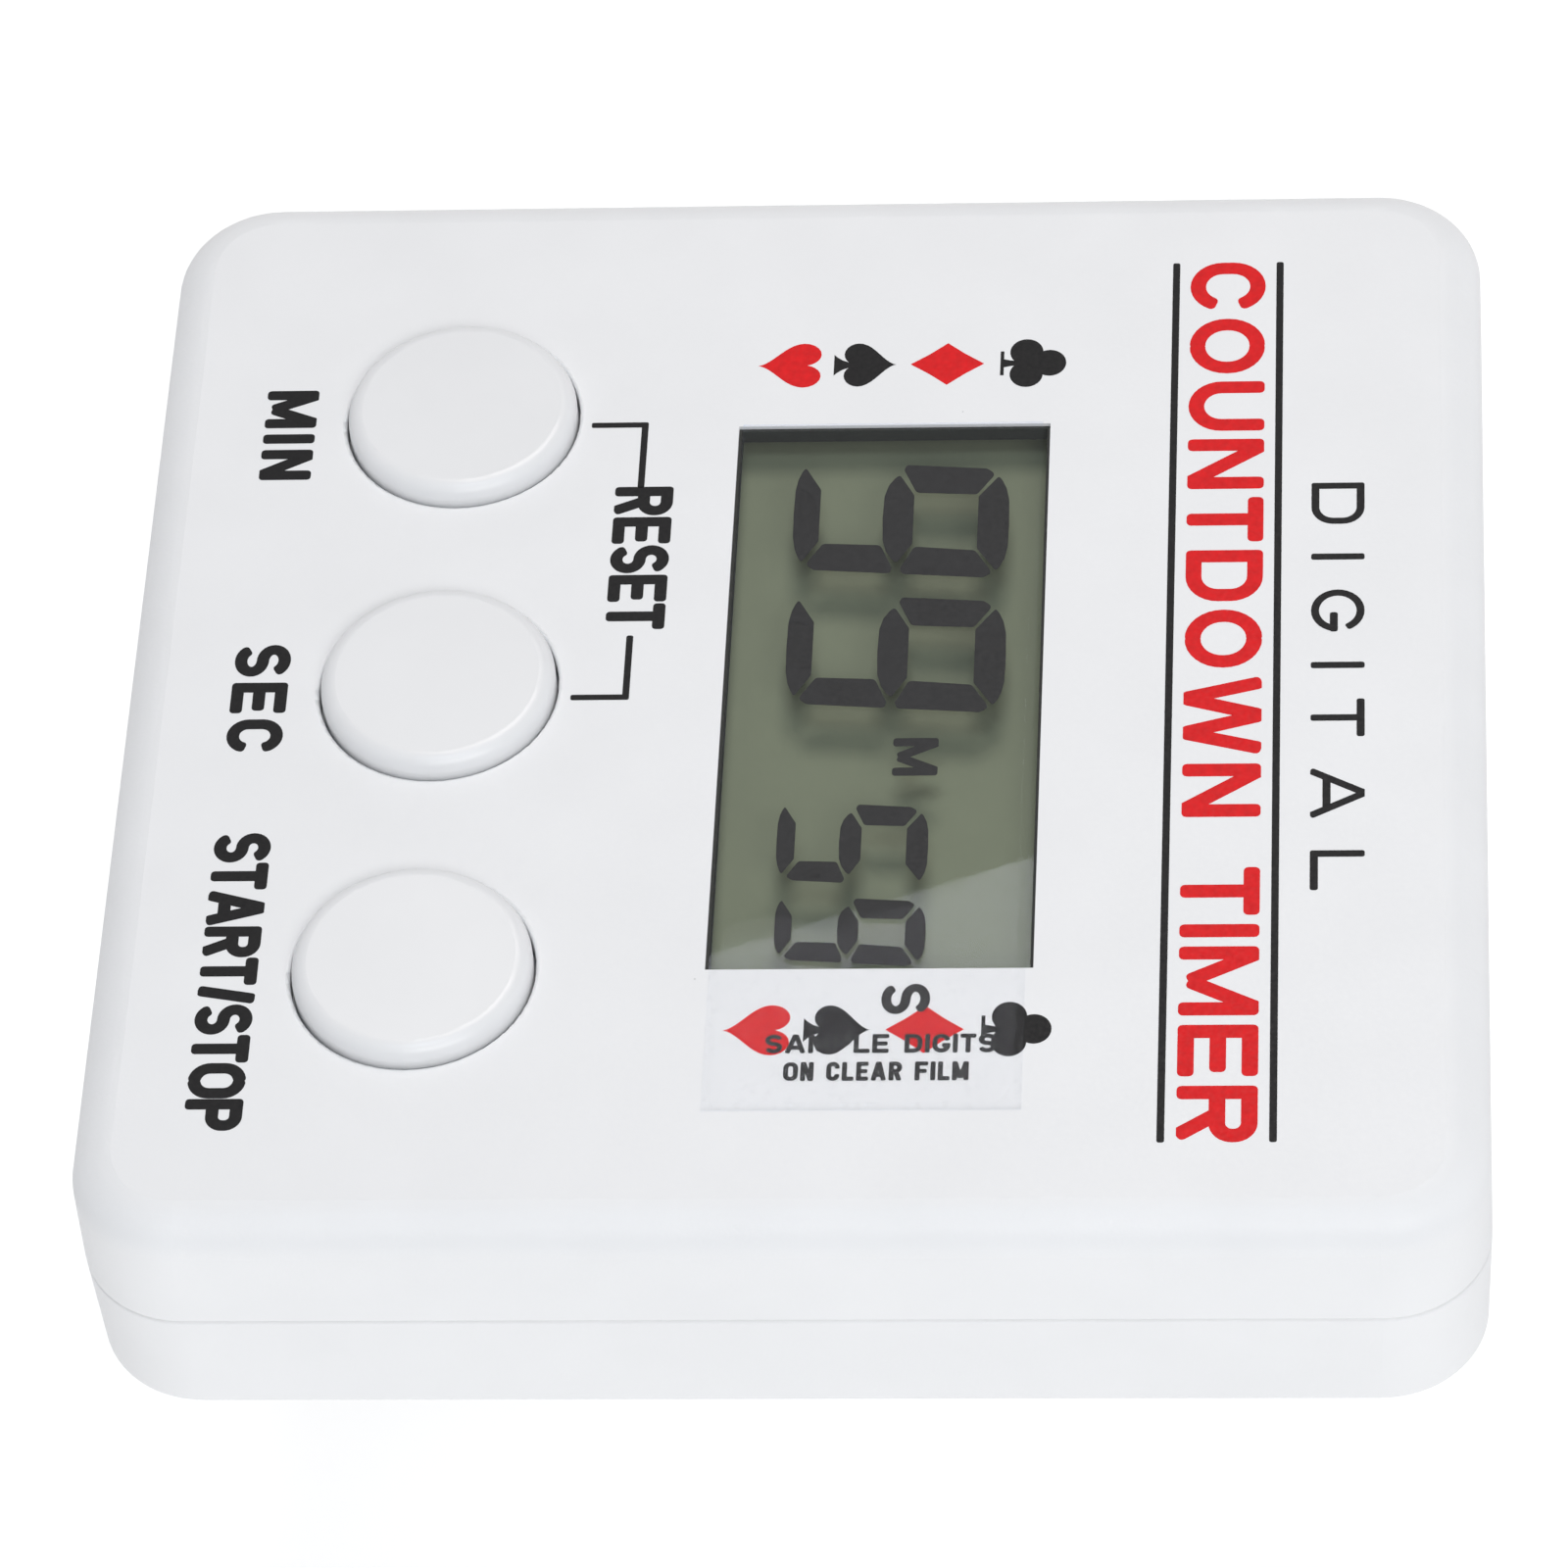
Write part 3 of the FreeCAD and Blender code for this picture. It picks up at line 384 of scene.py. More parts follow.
def striped_rubber(name, dark, light):
    """A rubber connector: thin dark and light layers, side by side along X."""
    f = Finish(name)
    wave = f.nodes.new("ShaderNodeTexWave")
    f.links.new(f.place, wave.inputs["Vector"])
    wave.inputs["Scale"].default_value = 1 / (1.2 * MM)
    f.colour(f.mixed(wave.outputs["Fac"], dark, light))
    f.roughness(f.noise(0.3), 0.6, 0.8)
    f.bump(f.noise(0.1), 0.004)
    return f.material


def board_finish(name, mask, metal_colour, surface_z):
    """Solder mask over a board, with tinned pads where the board stands higher than its surface."""
    f = Finish(name)
    split = f.nodes.new("ShaderNodeSeparateXYZ")
    f.links.new(f.place, split.inputs[0])
    pad_low, pad_high = (((surface_z + rise) * MM) for rise in PAD_RISE)
    is_pad = f.ranged(split.outputs["Z"], pad_low, pad_high, 0, 1)
    weave = f.mixed(f.noise(0.5, 2.0), shade(mask, 0.85), shade(mask, 1.15))
    f.colour(f.mixed(is_pad, weave, metal_colour))
    f.roughness(f.noise(0.4), 0.25, 0.4)
    f.bump(f.noise(0.5), 0.01)
    return f.material


def clear_sheet(name, tint, gloss_roughness, ior, haze_and_sheen=None):
    """A thin clear sheet: what is behind it shows unbent, under a mirror that strengthens at a slant.
    haze_and_sheen is (share, speck share, start): an even milkiness, partly the sheet's own cloudiness and
    partly painted reflection of the surroundings, and specks of trapped air from start along X. Small white
    dots, each an air bubble painted white for its glint, are added where the speck share is above the even
    share."""
    f = Finish(name)
    clear = f.nodes.new("ShaderNodeBsdfTransparent")
    f.links.new(f.mixed(f.noise(4.0), shade(tint, 0.99), tint), clear.inputs["Color"])
    through = clear.outputs[0]
    if haze_and_sheen:
        even, specks, start = haze_and_sheen
        milk_and_sheen = f.nodes.new("ShaderNodeBsdfDiffuse")
        milk_and_sheen.inputs["Color"].default_value = MILK_AND_SHEEN
        split = f.nodes.new("ShaderNodeSeparateXYZ")
        f.links.new(f.place, split.inputs[0])
        touching = f.ranged(split.outputs["X"], start * MM, (start + TOUCHING_FADE) * MM, 0, 1)
        air = f.ranged(f.noise(0.35, 2.0), 0.5, 0.7, 0, specks - even)
        share = f.ranged(f.product(air, touching), 0, 1, even, 1)
        through = f.blend(share, through, milk_and_sheen.outputs[0])
        # Small white dots: air bubbles in the film, painted white as their glints.
        if specks > even:
            bubble_glints = f.ranged(f.specks(BUBBLE_PITCH, DUST_RADIUS), 0, 1, 0, BUBBLE_GLINT_SHARE)
            through = f.blend(bubble_glints, through, milk_and_sheen.outputs[0])
    gloss = f.nodes.new("ShaderNodeBsdfGlossy")
    gloss.inputs["Color"].default_value = GLOSS_TINT
    f.links.new(f.ranged(f.noise(2.0), 0.3, 0.7, gloss_roughness, gloss_roughness * 1.5),
                gloss.inputs["Roughness"])
    slant = f.nodes.new("ShaderNodeFresnel")
    slant.inputs["IOR"].default_value = ior
    side = f.nodes.new("ShaderNodeNewGeometry")
    front = f.ranged(side.outputs["Backfacing"], 0, 1, 1, 0)
    surface = f.blend(f.product(slant.outputs[0], front), through, gloss.outputs[0])
    f.links.new(surface, f.nodes["Material Output"].inputs["Surface"])
    f.nodes.remove(f.shader)
    return f.material


def lcd_finish(name, colour):
    """The matt sheet on the display's front, which is what shows in the window."""
    f = Finish(name)
    f.colour(f.mixed(f.noise(3.0, 3.0), shade(colour, 0.96), shade(colour, 1.04)))
    f.roughness(f.noise(0.15, 3.0), 0.5, 0.65)
    f.bump(f.noise(0.08), 0.001)
    return f.material


INK_BLACK = ink("ink_black", (0.011, 0.011, 0.012))
INK_RED = ink("ink_red", (0.66, 0.007, 0.010))
FILM_INK = ink("film_ink", (0.026, 0.026, 0.027))


def slot_materials():
    """A material for each slot in the record that a CAD node uses."""
    white = (0.80, 0.806, 0.815)
    return {
        "white_case": moulded_plastic("white_case", white, 0.42, 0.56, 0.22, 0.006),
        "white_button": moulded_plastic("white_button", shade(white, 0.97), 0.3, 0.36, 0.5, 0.0006, 14.0),
        # The lens's even white milkiness is painted reflection of the surroundings, which lightens the
        # display evenly.
        "clear_lens": clear_sheet("clear_lens", (0.93, 0.95, 0.92), 0.01, 1.262, haze_and_sheen=(0.014, 0.014, 0)),
        # The gasket's dark is partly its own and partly painted shade: it stands in for the shaded,
        # mirror-like edge of the lens seen at the window's wall.
        "gasket": rubber("gasket", (0.025, 0.026, 0.024)),
        "polariser": lcd_finish("polariser", (0.233, 0.244, 0.176)),
        "lcd_glass": clear_sheet("lcd_glass", (0.9, 0.93, 0.9), 0.01, 1.5),
        "reflector": metal("reflector", (0.55, 0.57, 0.5), 0.4, 0.55),
        "foam": rubber("foam", (0.72, 0.72, 0.7), 0.4),
        "zebra_rubber": striped_rubber("zebra_rubber", (0.02, 0.02, 0.02), (0.6, 0.42, 0.46)),
        "board": board_finish("board", (0.02, 0.12, 0.05), (0.75, 0.6, 0.35),
                              box_mm("lcd_foam_pad")[0].z),
        "black_resin": moulded_plastic("black_resin", (0.012, 0.012, 0.013), 0.15, 0.3, 0.6, 0.004),
        "tin": metal("tin", (0.72, 0.72, 0.72), 0.2, 0.35),
        "ferrite": moulded_plastic("ferrite", (0.05, 0.05, 0.055), 0.45, 0.65, 0.15, 0.006),
        "copper_wire": metal("copper_wire", (0.72, 0.3, 0.14), 0.25, 0.4, brushed=True),
        "capacitor_tan": moulded_plastic("capacitor_tan", (0.42, 0.28, 0.15), 0.4, 0.6, 0.2, 0.003),
        "resistor_black": moulded_plastic("resistor_black", (0.02, 0.02, 0.02), 0.3, 0.5, 0.2, 0.003),
        "silicone": rubber("silicone", (0.35, 0.36, 0.37)),
        "carbon": rubber("carbon", (0.02, 0.02, 0.02)),
        "steel": metal("steel", (0.6, 0.6, 0.61), 0.25, 0.42, brushed=True),
        "brass_plate": metal("brass_plate", (0.75, 0.55, 0.24), 0.25, 0.4, brushed=True),
        "piezo_ceramic": moulded_plastic("piezo_ceramic", (0.6, 0.6, 0.56), 0.35, 0.5, 0.2, 0.003),
        "lead_red": moulded_plastic("lead_red", (0.5, 0.02, 0.02), 0.3, 0.45, 0.3, 0.003),
        "lead_black": moulded_plastic("lead_black", (0.015, 0.015, 0.015), 0.3, 0.45, 0.3, 0.003),
        "cell_steel": metal("cell_steel", (0.74, 0.74, 0.72), 0.15, 0.28, brushed=True),
    }


def finish_cad_nodes():
    slots = {s["node"]: s["material_slot"] for s in frame["record"]["subparts"]}
    materials = slot_materials()
    for name, ob in NODES.items():
        if slots[name] not in materials:
            continue
        ob.data.materials.clear()
        ob.data.materials.append(materials[slots[name]])


# Lettering: plain capitals drawn with a pen of even width

# A letter's width is the first number times the usual width, plus the second times the pen's.
LETTER_WIDTHS = {"I": (0, 1), "M": (1.25, 0), "W": (1.5, 0), "/": (0.6, 0), "L": (0.9, 0), "E": (0.92, 0),
                 "T": (0.88, 0), "A": (1.18, 0), "O": (1.12, 0), "S": (0.96, 0)}


def letter_paths(letter, width, height, pen):
    """The pen's paths for a capital in a box of the given size."""
    left = pen / 2
    right = width - pen / 2
    low = pen / 2
    high = height - pen / 2
    mid_x = width / 2
    mid_y = height * 0.5
    rx = (right - left) / 2
    ry = min(rx, (high - low) / 2)

    def bowl(y0, y1, ry_bowl):
        """A bowl on the right side of an upright, from y1 down to y0."""
        reach = min(rx, ry_bowl)
        return ([(left, y1)] + arc(right - reach, y1 - ry_bowl, reach, ry_bowl, 90, 0)
                + arc(right - reach, y0 + ry_bowl, reach, ry_bowl, 0, -90) + [(left, y0)])

    upright = [(left, 0), (left, height)]
    top_arm = [(left, high), (width, high)]
    low_arm = [(left, low), (width, low)]
    round_left = (arc(mid_x, high - ry, rx, ry, 90, 180) + arc(mid_x, low + ry, rx, ry, 180, 270))
    round_right = (arc(mid_x, low + ry, rx, ry, 270, 360) + arc(mid_x, high - ry, rx, ry, 0, 90))
    mouth = 0.19 * (high - low)
    straight = (high - low) / 2 - ry
    turn = math.degrees(math.asin(max(0, mouth - straight) / max(ry, CLOSE)))
    lip = [(right, mid_y + mouth)] if straight > mouth else []
    open_round = lip + arc(mid_x, high - ry, rx, ry, turn, 180) + arc(mid_x, low + ry, rx, ry, 180, 270)
    low_lip = [(x, 2 * mid_y - y) for x, y in lip]
    upper = (high + mid_y) / 2
    lower = (mid_y + low) / 2
    r_up = (high - mid_y) / 2
    r_low = (mid_y - low) / 2
    paths = {
        "A": [[(left, 0), (mid_x, height)], [(right, 0), (mid_x, height)],
              [(left + 0.2 * rx, 0.3 * height), (right - 0.2 * rx, 0.3 * height)]],
        "C": [open_round + arc(mid_x, low + ry, rx, ry, 270, 360 - turn)[1:] + low_lip],
        "D": [upright, bowl(low, high, (high - low) * 0.4)],
        "E": [upright, top_arm, low_arm, [(left, mid_y), (width - 0.08 * width, mid_y)]],
        "F": [upright, top_arm, [(left, mid_y), (width - 0.1 * width, mid_y)]],
        "G": [open_round + arc(mid_x, low + ry, rx, ry, 270, 360)[1:] + [(right, mid_y)],
              [(mid_x + 0.1 * rx, mid_y - pen / 2), (width, mid_y - pen / 2)]],
        "I": [[(left, 0), (left, height)]],
        "L": [upright, low_arm],
        "M": [upright, [(right, 0), (right, height)], [(left, height), (mid_x, 0.12 * height)],
              [(right, height), (mid_x, 0.12 * height)]],
        "N": [upright, [(right, 0), (right, height)], [(left, height), (right, 0)]],
        "O": [[(mid_x + 0.1 * rx, high)] + round_left + [(mid_x + 0.1 * rx, low)],
              [(mid_x - 0.1 * rx, low)] + round_right + [(mid_x - 0.1 * rx, high)]],
        "P": [upright, bowl(mid_y - pen * 0.1, high, (high - mid_y) * 0.48)],
        "R": [upright, bowl(mid_y, high, (high - mid_y) * 0.48), [(mid_x, mid_y), (right, 0)]],
        "S": [arc(mid_x, upper, rx, r_up, 12, 270) + arc(mid_x, lower, rx, r_low, 90, -168)[1:]],
        "T": [[(0, high), (width, high)], [(mid_x, 0), (mid_x, high)]],
        "U": [[(left, height)] + arc(mid_x, low + ry, rx, ry, 180, 360) + [(right, height)]],
        "W": [[(left, height), (width * 0.28, 0)], [(mid_x, height), (width * 0.28, 0)],
              [(mid_x, height), (width * 0.72, 0)], [(right, height), (width * 0.72, 0)]],
        "/": [[(left, 0), (right, height)]],
    }
    return paths[letter]


letter_store = {}


def letter_mesh(letter, width, height, pen, z0, z1):
    key = (letter, round(width, 4), height, pen, z0, z1)
    if key not in letter_store:
        outlines = [stroke(p, pen) for p in letter_paths(letter, width, height, pen)]
        letter_store[key] = merged(outlines, z0, z1, (-0.05, 0), (width + 0.05, height))
    return letter_store[key]


def lettering(text, x0, x1, y0, y1, pen, gap, z, thickness):
    """A line of capitals from x0 to x1, between y0 and y1."""
    shares = [LETTER_WIDTHS.get(c, (1, 0)) for c in text if c != " "]
    spaces = text.count(" ")
    free = (x1 - x0) - gap * (len(text) - 1) - pen * sum(b for a, b in shares)
    unit = free / (sum(a for a, b in shares) + 0.6 * spaces)
    x = x0
    placed = []
    for c in text:
        if c == " ":
            x += 0.6 * unit + gap
            continue
        a, b = LETTER_WIDTHS.get(c, (1, 0))
        width = a * unit + b * pen
        placed.append((letter_mesh(c, width, y1 - y0, pen, z, z + thickness), x, y0))
        x += width + gap
    return joined(placed)


# Playing-card suits, each an outline or several in a box one wide and one high

def heart_outline(upside_down=False):
    """The usual heart curve."""
    points = []
    for i in range(48):
        t = 2 * math.pi * i / 48
        x = 16 * math.sin(t) ** 3
        y = 13 * math.cos(t) - 5 * math.cos(2 * t) - 2 * math.cos(3 * t) - math.cos(4 * t)
        points.append((0.5 + x / 32, (y + 17) / 29))
    if upside_down:
        points = [(x, 1 - y) for x, y in points]
    return points


def stem_outline(top, half_width, flare):
    """A stem that widens to a foot."""
    left = [(0.5 - half_width - flare * (1 - t) ** 3, top * t) for t in (0, 0.12, 0.3, 0.55, 1)]
    right = [(1 - x, y) for x, y in reversed(left)]
    return left + right


def bar_outline(half_width, height):
    """The flat foot of a stem."""
    left = 0.5 - half_width
    right = 0.5 + half_width
    return [(left, 0), (right, 0), (right, height), (left, height)]


def suit_outlines(suit):
    if suit == "heart":
        return [heart_outline()]
    if suit == "diamond":
        near = 0.26                 # the sides curve in a little between the points
        far = 1 - near
        return [[(0.5, 0), (far, near), (1, 0.5), (far, far), (0.5, 1), (near, far), (0, 0.5), (near, near)]]
    if suit == "spade":
        body = [(x, 0.16 + 0.84 * y) for x, y in heart_outline(upside_down=True)]
        return [body, stem_outline(0.45, 0.04, 0.2)]
    lobe = 0.27
    lobes = [arc(x, y, lobe, lobe * 0.94, 0, 345) for x, y in ((lobe, 0.4), (1 - lobe, 0.4), (0.5, 0.755))]
    hub = arc(0.5, 0.5, 0.17, 0.17, 0, 345)
    return lobes + [hub, stem_outline(0.5, 0.035, 0.07), bar_outline(0.25, 0.055)]


def suit_piece(name, suit, x, y, width, height):
    outlines = []
    for outline in suit_outlines(suit):
        outlines.append([(x + width * (u - 0.5), y + height * (v - 0.5)) for u, v in outline])
    mesh = merged(outlines, FACE_Z, FACE_Z + INK_T, (x - width, y - height), (x + width, y + height))
    red = suit in ("heart", "diamond")
    piece(name, mesh, INK_RED if red else INK_BLACK)


# Printing on the face

PEN = 0.6
# name, text, place it is measured from, left and right, bottom and top, gap between letters
LEGENDS = [
    ("legend_min", "MIN", MIN_AT, (-1.95, 3.9), (-9.8, -7.25), 0.42),
    ("legend_sec", "SEC", SEC_AT, (-2.7, 4.0), (-9.95, -7.25), 0.40),
    ("legend_start_stop", "START/STOP", START_AT, (-8.25, 9.3), (-9.95, -7.25), 0.03),
    ("legend_reset", "RESET", SEC_AT, (-12.6, -3.5), (7.75, 10.6), 0.12),
]
TITLE_X = (-27.0, 27.4)
TITLE_UP = 17.9             # from the middle of the face to the foot of the title
TITLE_H = 4.0
TITLE_PEN = 0.76
TITLE_GAP = 0.55
TITLE_LIFT = 0.3            # from TITLE_UP to the letters' feet
RULE_PEN = 0.35
RULE_BELOW = 0.4
RULE_ABOVE = 0.7
WORD_X = (-12.4, 12.8)
WORD_UP = 24.2
WORD_H = 2.55
WORD_PEN = 0.38
WORD_GAP = 1.9
# The lines from two buttons to the word between them: button, X of the long part, reach of the short part
BRACKETS = {"bracket_left": (MIN_AT, 0.55, 4.1), "bracket_right": (SEC_AT, 0.75, -3.85)}
BRACKET_PEN = 0.33
BRACKET_UP = (6.35, 9.15)
SUITS = ("heart", "spade", "diamond", "club")
SUIT_UP = {"heart": -1.5, "spade": 2.2, "diamond": 6.25, "club": 10.45}
SUIT_SIZE = {"heart": (2.9, 3.1), "spade": (2.85, 3.05), "diamond": (2.75, 3.6), "club": (3.15, 3.2)}
SUIT_SIDES = {"left": (-20.45, 0.1), "right": (20.85, 0.35)}     # X, and what is added to the suit's Y


def print_legends():
    for name, text, at, (x0, x1), (y0, y1), gap in LEGENDS:
        mesh = lettering(text, at.x + x0, at.x + x1, at.y + y0, at.y + y1, PEN, gap, FACE_Z, INK_T)
        piece(name, mesh, INK_BLACK)


def print_brackets():
    low, high = BRACKET_UP
    half = BRACKET_PEN / 2
    for name, (at, side, reach) in BRACKETS.items():
        x = at.x + side
        up = [(x, at.y + low), (x, at.y + high)]
        across = [(x - math.copysign(half, reach), at.y + high - half), (x + reach, at.y + high - half)]
        mesh = merged([stroke(up, BRACKET_PEN), stroke(across, BRACKET_PEN)], FACE_Z, FACE_Z + INK_T,
                      CASE_LOW, CASE_HIGH)
        piece(name, mesh, INK_BLACK)


def print_suits():
    for side, (x, shift) in SUIT_SIDES.items():
        for suit in SUITS:
            width, height = SUIT_SIZE[suit]
            y = FACE_AT.y + SUIT_UP[suit] + shift
            suit_piece(f"suit_{suit}_{side}", suit, FACE_AT.x + x, y, width, height)


def print_title():
    """Plain generic words where the maker's title would be, between two thin rules."""
    foot = FACE_AT.y + TITLE_UP
    mesh = lettering("COUNTDOWN TIMER", *TITLE_X, foot + TITLE_LIFT, foot + TITLE_H,
                     TITLE_PEN, TITLE_GAP, FACE_Z, INK_T)
    piece("title", mesh, INK_RED)
    for name, y in (("title_rule_low", foot - RULE_BELOW), ("title_rule_high", foot + TITLE_H + RULE_ABOVE)):
        rule = stroke([(TITLE_X[0], y), (TITLE_X[1], y)], RULE_PEN)
        piece(name, prism_mesh([rule], FACE_Z, FACE_Z + INK_T), INK_BLACK)
    foot = FACE_AT.y + WORD_UP
    mesh = lettering("DIGITAL", *WORD_X, foot, foot + WORD_H, WORD_PEN, WORD_GAP, FACE_Z, INK_T)
    piece("small_word", mesh, INK_BLACK)


# The clear film and the sample digits printed on it

FILM_PLAY = 0.024           # the film lies this far above the face
FILM_SLACK = 0.034          # how much thinner it is than its place, for its waves and the ink below it
FILM_INK_T = 0.006
WAVE_HEIGHT = 0.002
WAVE_LENGTH_X = 9.0
WAVE_LENGTH_Y = 7.0
FILM_STEPS = (84, 30)


def film_z(x, y):
    """Height of the film's underside: flat but for very gentle waves, which only its shine shows."""
    turn = 2 * math.pi
    wave = math.sin(turn * x / WAVE_LENGTH_X + 0.6 * y) + math.sin(0.5 * x - turn * y / WAVE_LENGTH_Y)
    return FACE_Z + FILM_PLAY + WAVE_HEIGHT * (wave + 2)


def film_mesh():
    """The film as a closed thin sheet."""
    nx, ny = FILM_STEPS
    thickness = FILM_HIGH.z - FILM_LOW.z - FILM_SLACK
    shape = bmesh.new()
    layers = []
    for lift in (0, thickness):
        rows = []
        for i in range(nx + 1):
            x = FILM_LOW.x + (FILM_HIGH.x - FILM_LOW.x) * i / nx
            row = []
            for j in range(ny + 1):
                y = FILM_LOW.y + (FILM_HIGH.y - FILM_LOW.y) * j / ny
                row.append(shape.verts.new((x, y, film_z(x, y) + lift)))
            rows.append(row)
        layers.append(rows)
    under, over = layers
    for i in range(nx):
        for j in range(ny):
            shape.faces.new((over[i][j], over[i + 1][j], over[i + 1][j + 1], over[i][j + 1]))
            shape.faces.new((under[i][j], under[i][j + 1], under[i + 1][j + 1], under[i + 1][j]))
    rim = ([(i, 0) for i in range(nx)] + [(nx, j) for j in range(ny)]
           + [(i, ny) for i in range(nx, 0, -1)] + [(0, j) for j in range(ny, 0, -1)])
    for (i, j), (k, m) in zip(rim, rim[1:] + rim[:1]):
        shape.faces.new((under[i][j], under[k][m], over[k][m], over[i][j]))
    bmesh.ops.recalc_face_normals(shape, faces=shape.faces)
    for face in shape.faces:
        face.smooth = True
    mesh = bpy.data.meshes.new("film")
    shape.to_mesh(mesh)
    shape.free()
    return mesh


SEGMENTS = {"9": "abcdfg", "5": "acdfg"}       # the lower left segment is in neither


def bulged(start, end, rise):
    """Points between two at the same height, on a flat-topped curve that rises to rise."""
    return [(start[0] + (end[0] - start[0]) * t, start[1] + rise * (1 - (2 * t - 1) ** 4))
            for t in (0.05, 0.13, 0.25, 0.5, 0.75, 0.87, 0.95)]


def segment_outlines(digit, width, height, bar, gap, slant):
    """The printed segments of one digit: bars cut at a slant where they meet, with rounded outer sides."""
    side = bar * 1.19           # the upright bars are wider
    mid = height * 0.485
    cut_out = Vector((0.22 * side, height - 0.42 * bar))
    cut_in = Vector((side, height - bar))
    along = (cut_in - cut_out).normalized()
    apart = Vector((-along.y, along.x)) * gap / 2

    def mirrored(points):
        return [(width - x, y) for x, y in reversed(points)]

    def top_bar(rise):
        left = [tuple(cut_out + apart)]
        right = mirrored(left)
        curve = bulged(left[0], right[0], rise)
        return left + curve + right + mirrored([tuple(cut_in + apart)]) + [tuple(cut_in + apart)]

    upper_left = [tuple(cut_in - apart), tuple(cut_out - apart), (0, height - 0.62 * bar - gap),
                  (0, mid + 1.2 * gap), (0.2 * side, mid + 0.8 * gap), (side, mid + bar / 2 + 0.4 * gap)]
    left_tip = (0.3 * side + gap / 2, mid)
    right_tip = (width - 0.3 * side - gap / 2, mid)
    shoulder = (side + 0.7 * gap, mid + bar / 2)
    middle = [left_tip, shoulder, (width - shoulder[0], shoulder[1]), right_tip]
    middle += bulged(right_tip, left_tip, -bar / 2)
    lower_left = [(x, 2 * mid - y) for x, y in upper_left]
    stretch = mid / (height - mid)
    lower_left = [(x, mid + (y - mid) * stretch) for x, y in lower_left]
    top = top_bar(height - cut_out.y - apart.y)
    shapes = {
        "a": [(x, height - 1.1 * (height - y)) for x, y in top],
        "b": mirrored(upper_left),
        "c": mirrored(lower_left),
        "d": [(x, 0.92 * (height - y)) for x, y in top],
        "f": upper_left,
        "g": middle,
    }
    return [[(x + slant * y, y) for x, y in rounded(shapes[s], 0.2 * bar)] for s in SEGMENTS[digit]]


# digit, left edge and foot from the middle of the face, width, height, bar
FILM_DIGITS = [
    ("9", -14.2, -0.79, 7.0, 10.45, 1.49),
    ("9", -5.72, -0.77, 6.95, 10.5, 1.47),
    ("5", 7.22, -0.71, 4.75, 7.12, 1.04),
    ("9", 12.87, -0.59, 3.85, 7.05, 0.98),
]
DIGIT_SLANT = 0.07
DIGIT_GAP = 0.25
# name, letter, X from and to, Y from and to, pen
FILM_LETTERS = [
    ("film_minutes", "M", 3.45, 5.75, 4.55, 6.7, 0.5),
    ("film_seconds", "S", 18.2, 19.95, 4.55, 6.8, 0.45),
]
# Two lines of small capitals that run along Y: text, X of the letters' feet, Y from and to
FILM_LINES = [("SAMPLE DIGITS", 22.2, -0.7, 9.9), ("ON CLEAR FILM", 23.8, 0.2, 8.7)]
FILM_LINE_H = 1.08
FILM_LINE_PEN = 0.23
FILM_LINE_GAP = 0.11
INK_CLEAR = 0.001           # between the film and the ink below it


def print_on_film(name, mesh):
    """Puts a flat mesh on the film's underside as ink, following its waves."""
    for vert in mesh.vertices:
        vert.co.z += film_z(vert.co.x, vert.co.y) - FILM_INK_T - INK_CLEAR
    piece(name, mesh, FILM_INK)


def print_film():
    for i, (digit, x, y, width, height, bar) in enumerate(FILM_DIGITS):
        outlines = segment_outlines(digit, width, height, bar, DIGIT_GAP, DIGIT_SLANT)
        moved = [[(FACE_AT.x + x + u, FACE_AT.y + y + v) for u, v in o] for o in outlines]
        print_on_film(f"film_digit_{i + 1}", prism_mesh(moved, 0, FILM_INK_T))
    for name, letter, x0, x1, y0, y1, pen in FILM_LETTERS:
        mesh = lettering(letter, FACE_AT.x + x0, FACE_AT.x + x1, FACE_AT.y + y0, FACE_AT.y + y1,
                         pen, 0, 0, FILM_INK_T)
        print_on_film(name, mesh)
    for i, (text, x, y0, y1) in enumerate(FILM_LINES):
        mesh = lettering(text, y0, y1, 0, FILM_LINE_H, FILM_LINE_PEN, FILM_LINE_GAP, 0, FILM_INK_T)
        for vert in mesh.vertices:
            vert.co.x, vert.co.y = FACE_AT.x + x - vert.co.y, FACE_AT.y + vert.co.x
        print_on_film(f"film_line_{i + 1}", mesh)


def make_film():
    # The film's even milkiness is partly its own and partly painted reflection; its white dots are air
    # bubbles painted white for their glints.
    material = clear_sheet("clear_film", (0.993, 0.994, 0.996), 0.008, 1.1,
                           haze_and_sheen=(0.004, 0.024, WINDOW_EDGE_X))
    film = piece("film", film_mesh(), material)
    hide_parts("protective_film")


# Camera, lights and floor. Azimuth 0 looks along +Y and 90 along -X. Distances here are in metres.

CAMERA_AZIMUTH = 97.03
CAMERA_ELEVATION = 50.23
CAMERA_ROLL = -5.85
CAMERA_DISTANCE = 0.4077
CAMERA_AIM = Vector((-4.89, -1.88, 0)) * MM
CAMERA_LENS = 190.4
CAMERA_SENSOR = 36.0


def direction(azimuth, elevation):
    """The unit vector that points from the object towards a viewer or a lamp."""
    a = math.radians(azimuth)
    e = math.radians(elevation)
    return Vector((math.sin(a) * math.cos(e), -math.cos(a) * math.cos(e), math.sin(e)))


def place_looking_back(ob, target, back, distance, roll=0.0):
    """Puts ob at a distance from target, looking at it."""
    ob.location = target + back * distance
    ob.rotation_mode = "QUATERNION"
    level = (-back).to_track_quat("-Z", "Y")
    ob.rotation_quaternion = Quaternion(back, math.radians(roll)) @ level
    bpy.context.scene.collection.objects.link(ob)


def make_camera():
    data = bpy.data.cameras.new("camera")
    data.lens = CAMERA_LENS
    data.sensor_width = CAMERA_SENSOR
    data.clip_start = 0.01
    data.clip_end = 20
    camera = bpy.data.objects.new("camera", data)
    back = direction(CAMERA_AZIMUTH, CAMERA_ELEVATION)
    place_looking_back(camera, CAMERA_AIM, back, CAMERA_DISTANCE, CAMERA_ROLL)
    bpy.context.scene.camera = camera


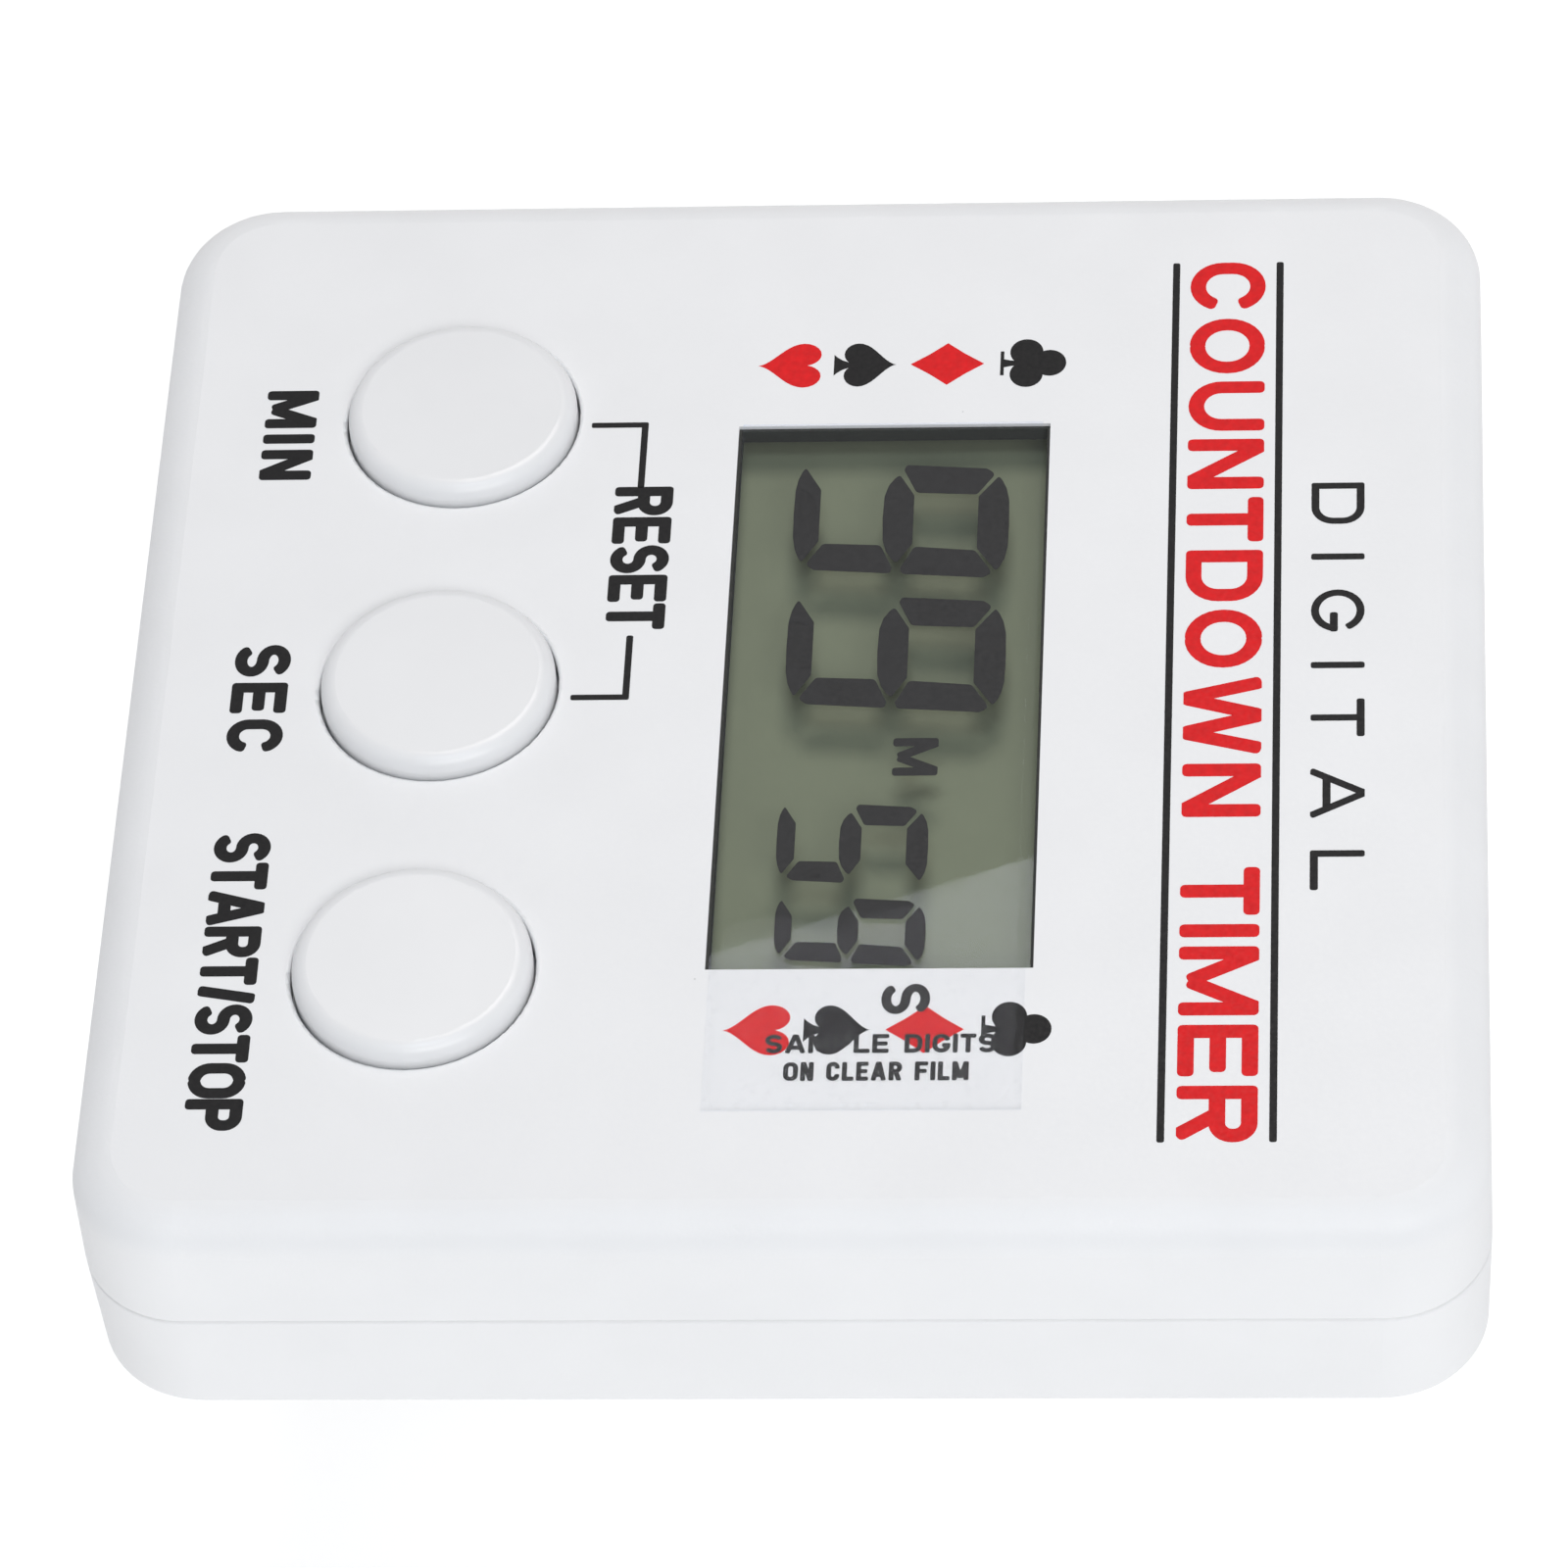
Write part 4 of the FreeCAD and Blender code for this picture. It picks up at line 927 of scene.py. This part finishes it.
# name, azimuth, elevation, roll, distance, width, height, radiance, colour
SOFTBOXES = [
    ("key", 262, 63, 23, 0.6, 0.24, 0.25, 7.05, (1.02, 0.965, 0.92)),
    ("front", 100, 78, 0, 0.6, 0.22, 0.18, 6.1, (0.86, 0.965, 1.08)),
    ("fill", 110, 43, 0, 0.8, 0.6, 0.3, 5.0, (0.965, 0.965, 0.965)),
]
SKY_TOP = 0.09
SKY_HORIZON = 0.93
SKY_FALL = 2                # how fast the sky darkens upwards
SKY_TINT = (0.955, 0.955, 0.98, 1)
FLOOR_GLOW = 0.64           # the floor is a light table
FLOOR_SIDE = 3.0
STAND_ROOM = 0.04           # the stand opens below the timer, above the floor


def make_lights():
    for name, azimuth, elevation, roll, distance, width, height, radiance, colour in SOFTBOXES:
        data = bpy.data.lights.new(name, "AREA")
        data.shape = "RECTANGLE"
        data.size = width
        data.size_y = height
        data.energy = radiance * width * height * math.pi
        data.color = colour
        lamp = bpy.data.objects.new(name, data)
        place_looking_back(lamp, Vector((0, 0, 0)), direction(azimuth, elevation), distance, roll)
    make_sky()


def make_sky():
    """A white tent round the table, brighter towards the table than overhead."""
    world = bpy.data.worlds.new("studio")
    bpy.context.scene.world = world
    world.use_nodes = True
    nodes = world.node_tree.nodes
    links = world.node_tree.links
    place = nodes.new("ShaderNodeTexCoord")
    split = nodes.new("ShaderNodeSeparateXYZ")
    links.new(place.outputs["Generated"], split.inputs[0])
    down = nodes.new("ShaderNodeMapRange")
    down.inputs["To Min"].default_value = 1
    down.inputs["To Max"].default_value = 0
    links.new(split.outputs["Z"], down.inputs["Value"])
    curve = nodes.new("ShaderNodeMath")
    curve.operation = "POWER"
    curve.inputs[1].default_value = SKY_FALL
    links.new(down.outputs[0], curve.inputs[0])
    strength = nodes.new("ShaderNodeMapRange")
    strength.inputs["To Min"].default_value = SKY_TOP
    strength.inputs["To Max"].default_value = SKY_HORIZON
    links.new(curve.outputs[0], strength.inputs["Value"])
    sky = nodes["Background"]
    sky.inputs["Color"].default_value = SKY_TINT
    links.new(strength.outputs[0], sky.inputs["Strength"])


def make_floor():
    """A glowing table top, one-sided so that the timer's back is seen from below."""
    half = FLOOR_SIDE / 2
    top = cad_low.z - STAND_ROOM
    mesh = bpy.data.meshes.new("floor")
    mesh.from_pydata([(-half, -half, top), (half, -half, top), (half, half, top), (-half, half, top)],
                     [], [(0, 1, 2, 3)])
    f = Finish("floor")
    f.colour(f.mixed(f.noise(30.0, 4.0), (0.49, 0.495, 0.5), (0.51, 0.515, 0.52)))
    f.roughness(f.noise(2.0, 3.0), 0.7, 0.8)
    f.bump(f.noise(1.0, 3.0), 0.01)
    f.shader.inputs["Emission Color"].default_value = (1, 1, 1, 1)
    f.shader.inputs["Emission Strength"].default_value = FLOOR_GLOW
    side = f.nodes.new("ShaderNodeNewGeometry")
    clear = f.nodes.new("ShaderNodeBsdfTransparent")
    surface = f.blend(side.outputs["Backfacing"], f.shader.outputs[0], clear.outputs[0])
    f.links.new(surface, f.nodes["Material Output"].inputs["Surface"])
    mesh.materials.append(f.material)
    floor = bpy.data.objects.new("floor", mesh)
    bpy.context.scene.collection.objects.link(floor)


make_camera()
finish_cad_nodes()
print_legends()
print_brackets()
print_suits()
print_title()
make_film()
print_film()
make_lights()
make_floor()
bpy.context.scene.view_settings.view_transform = "Standard"
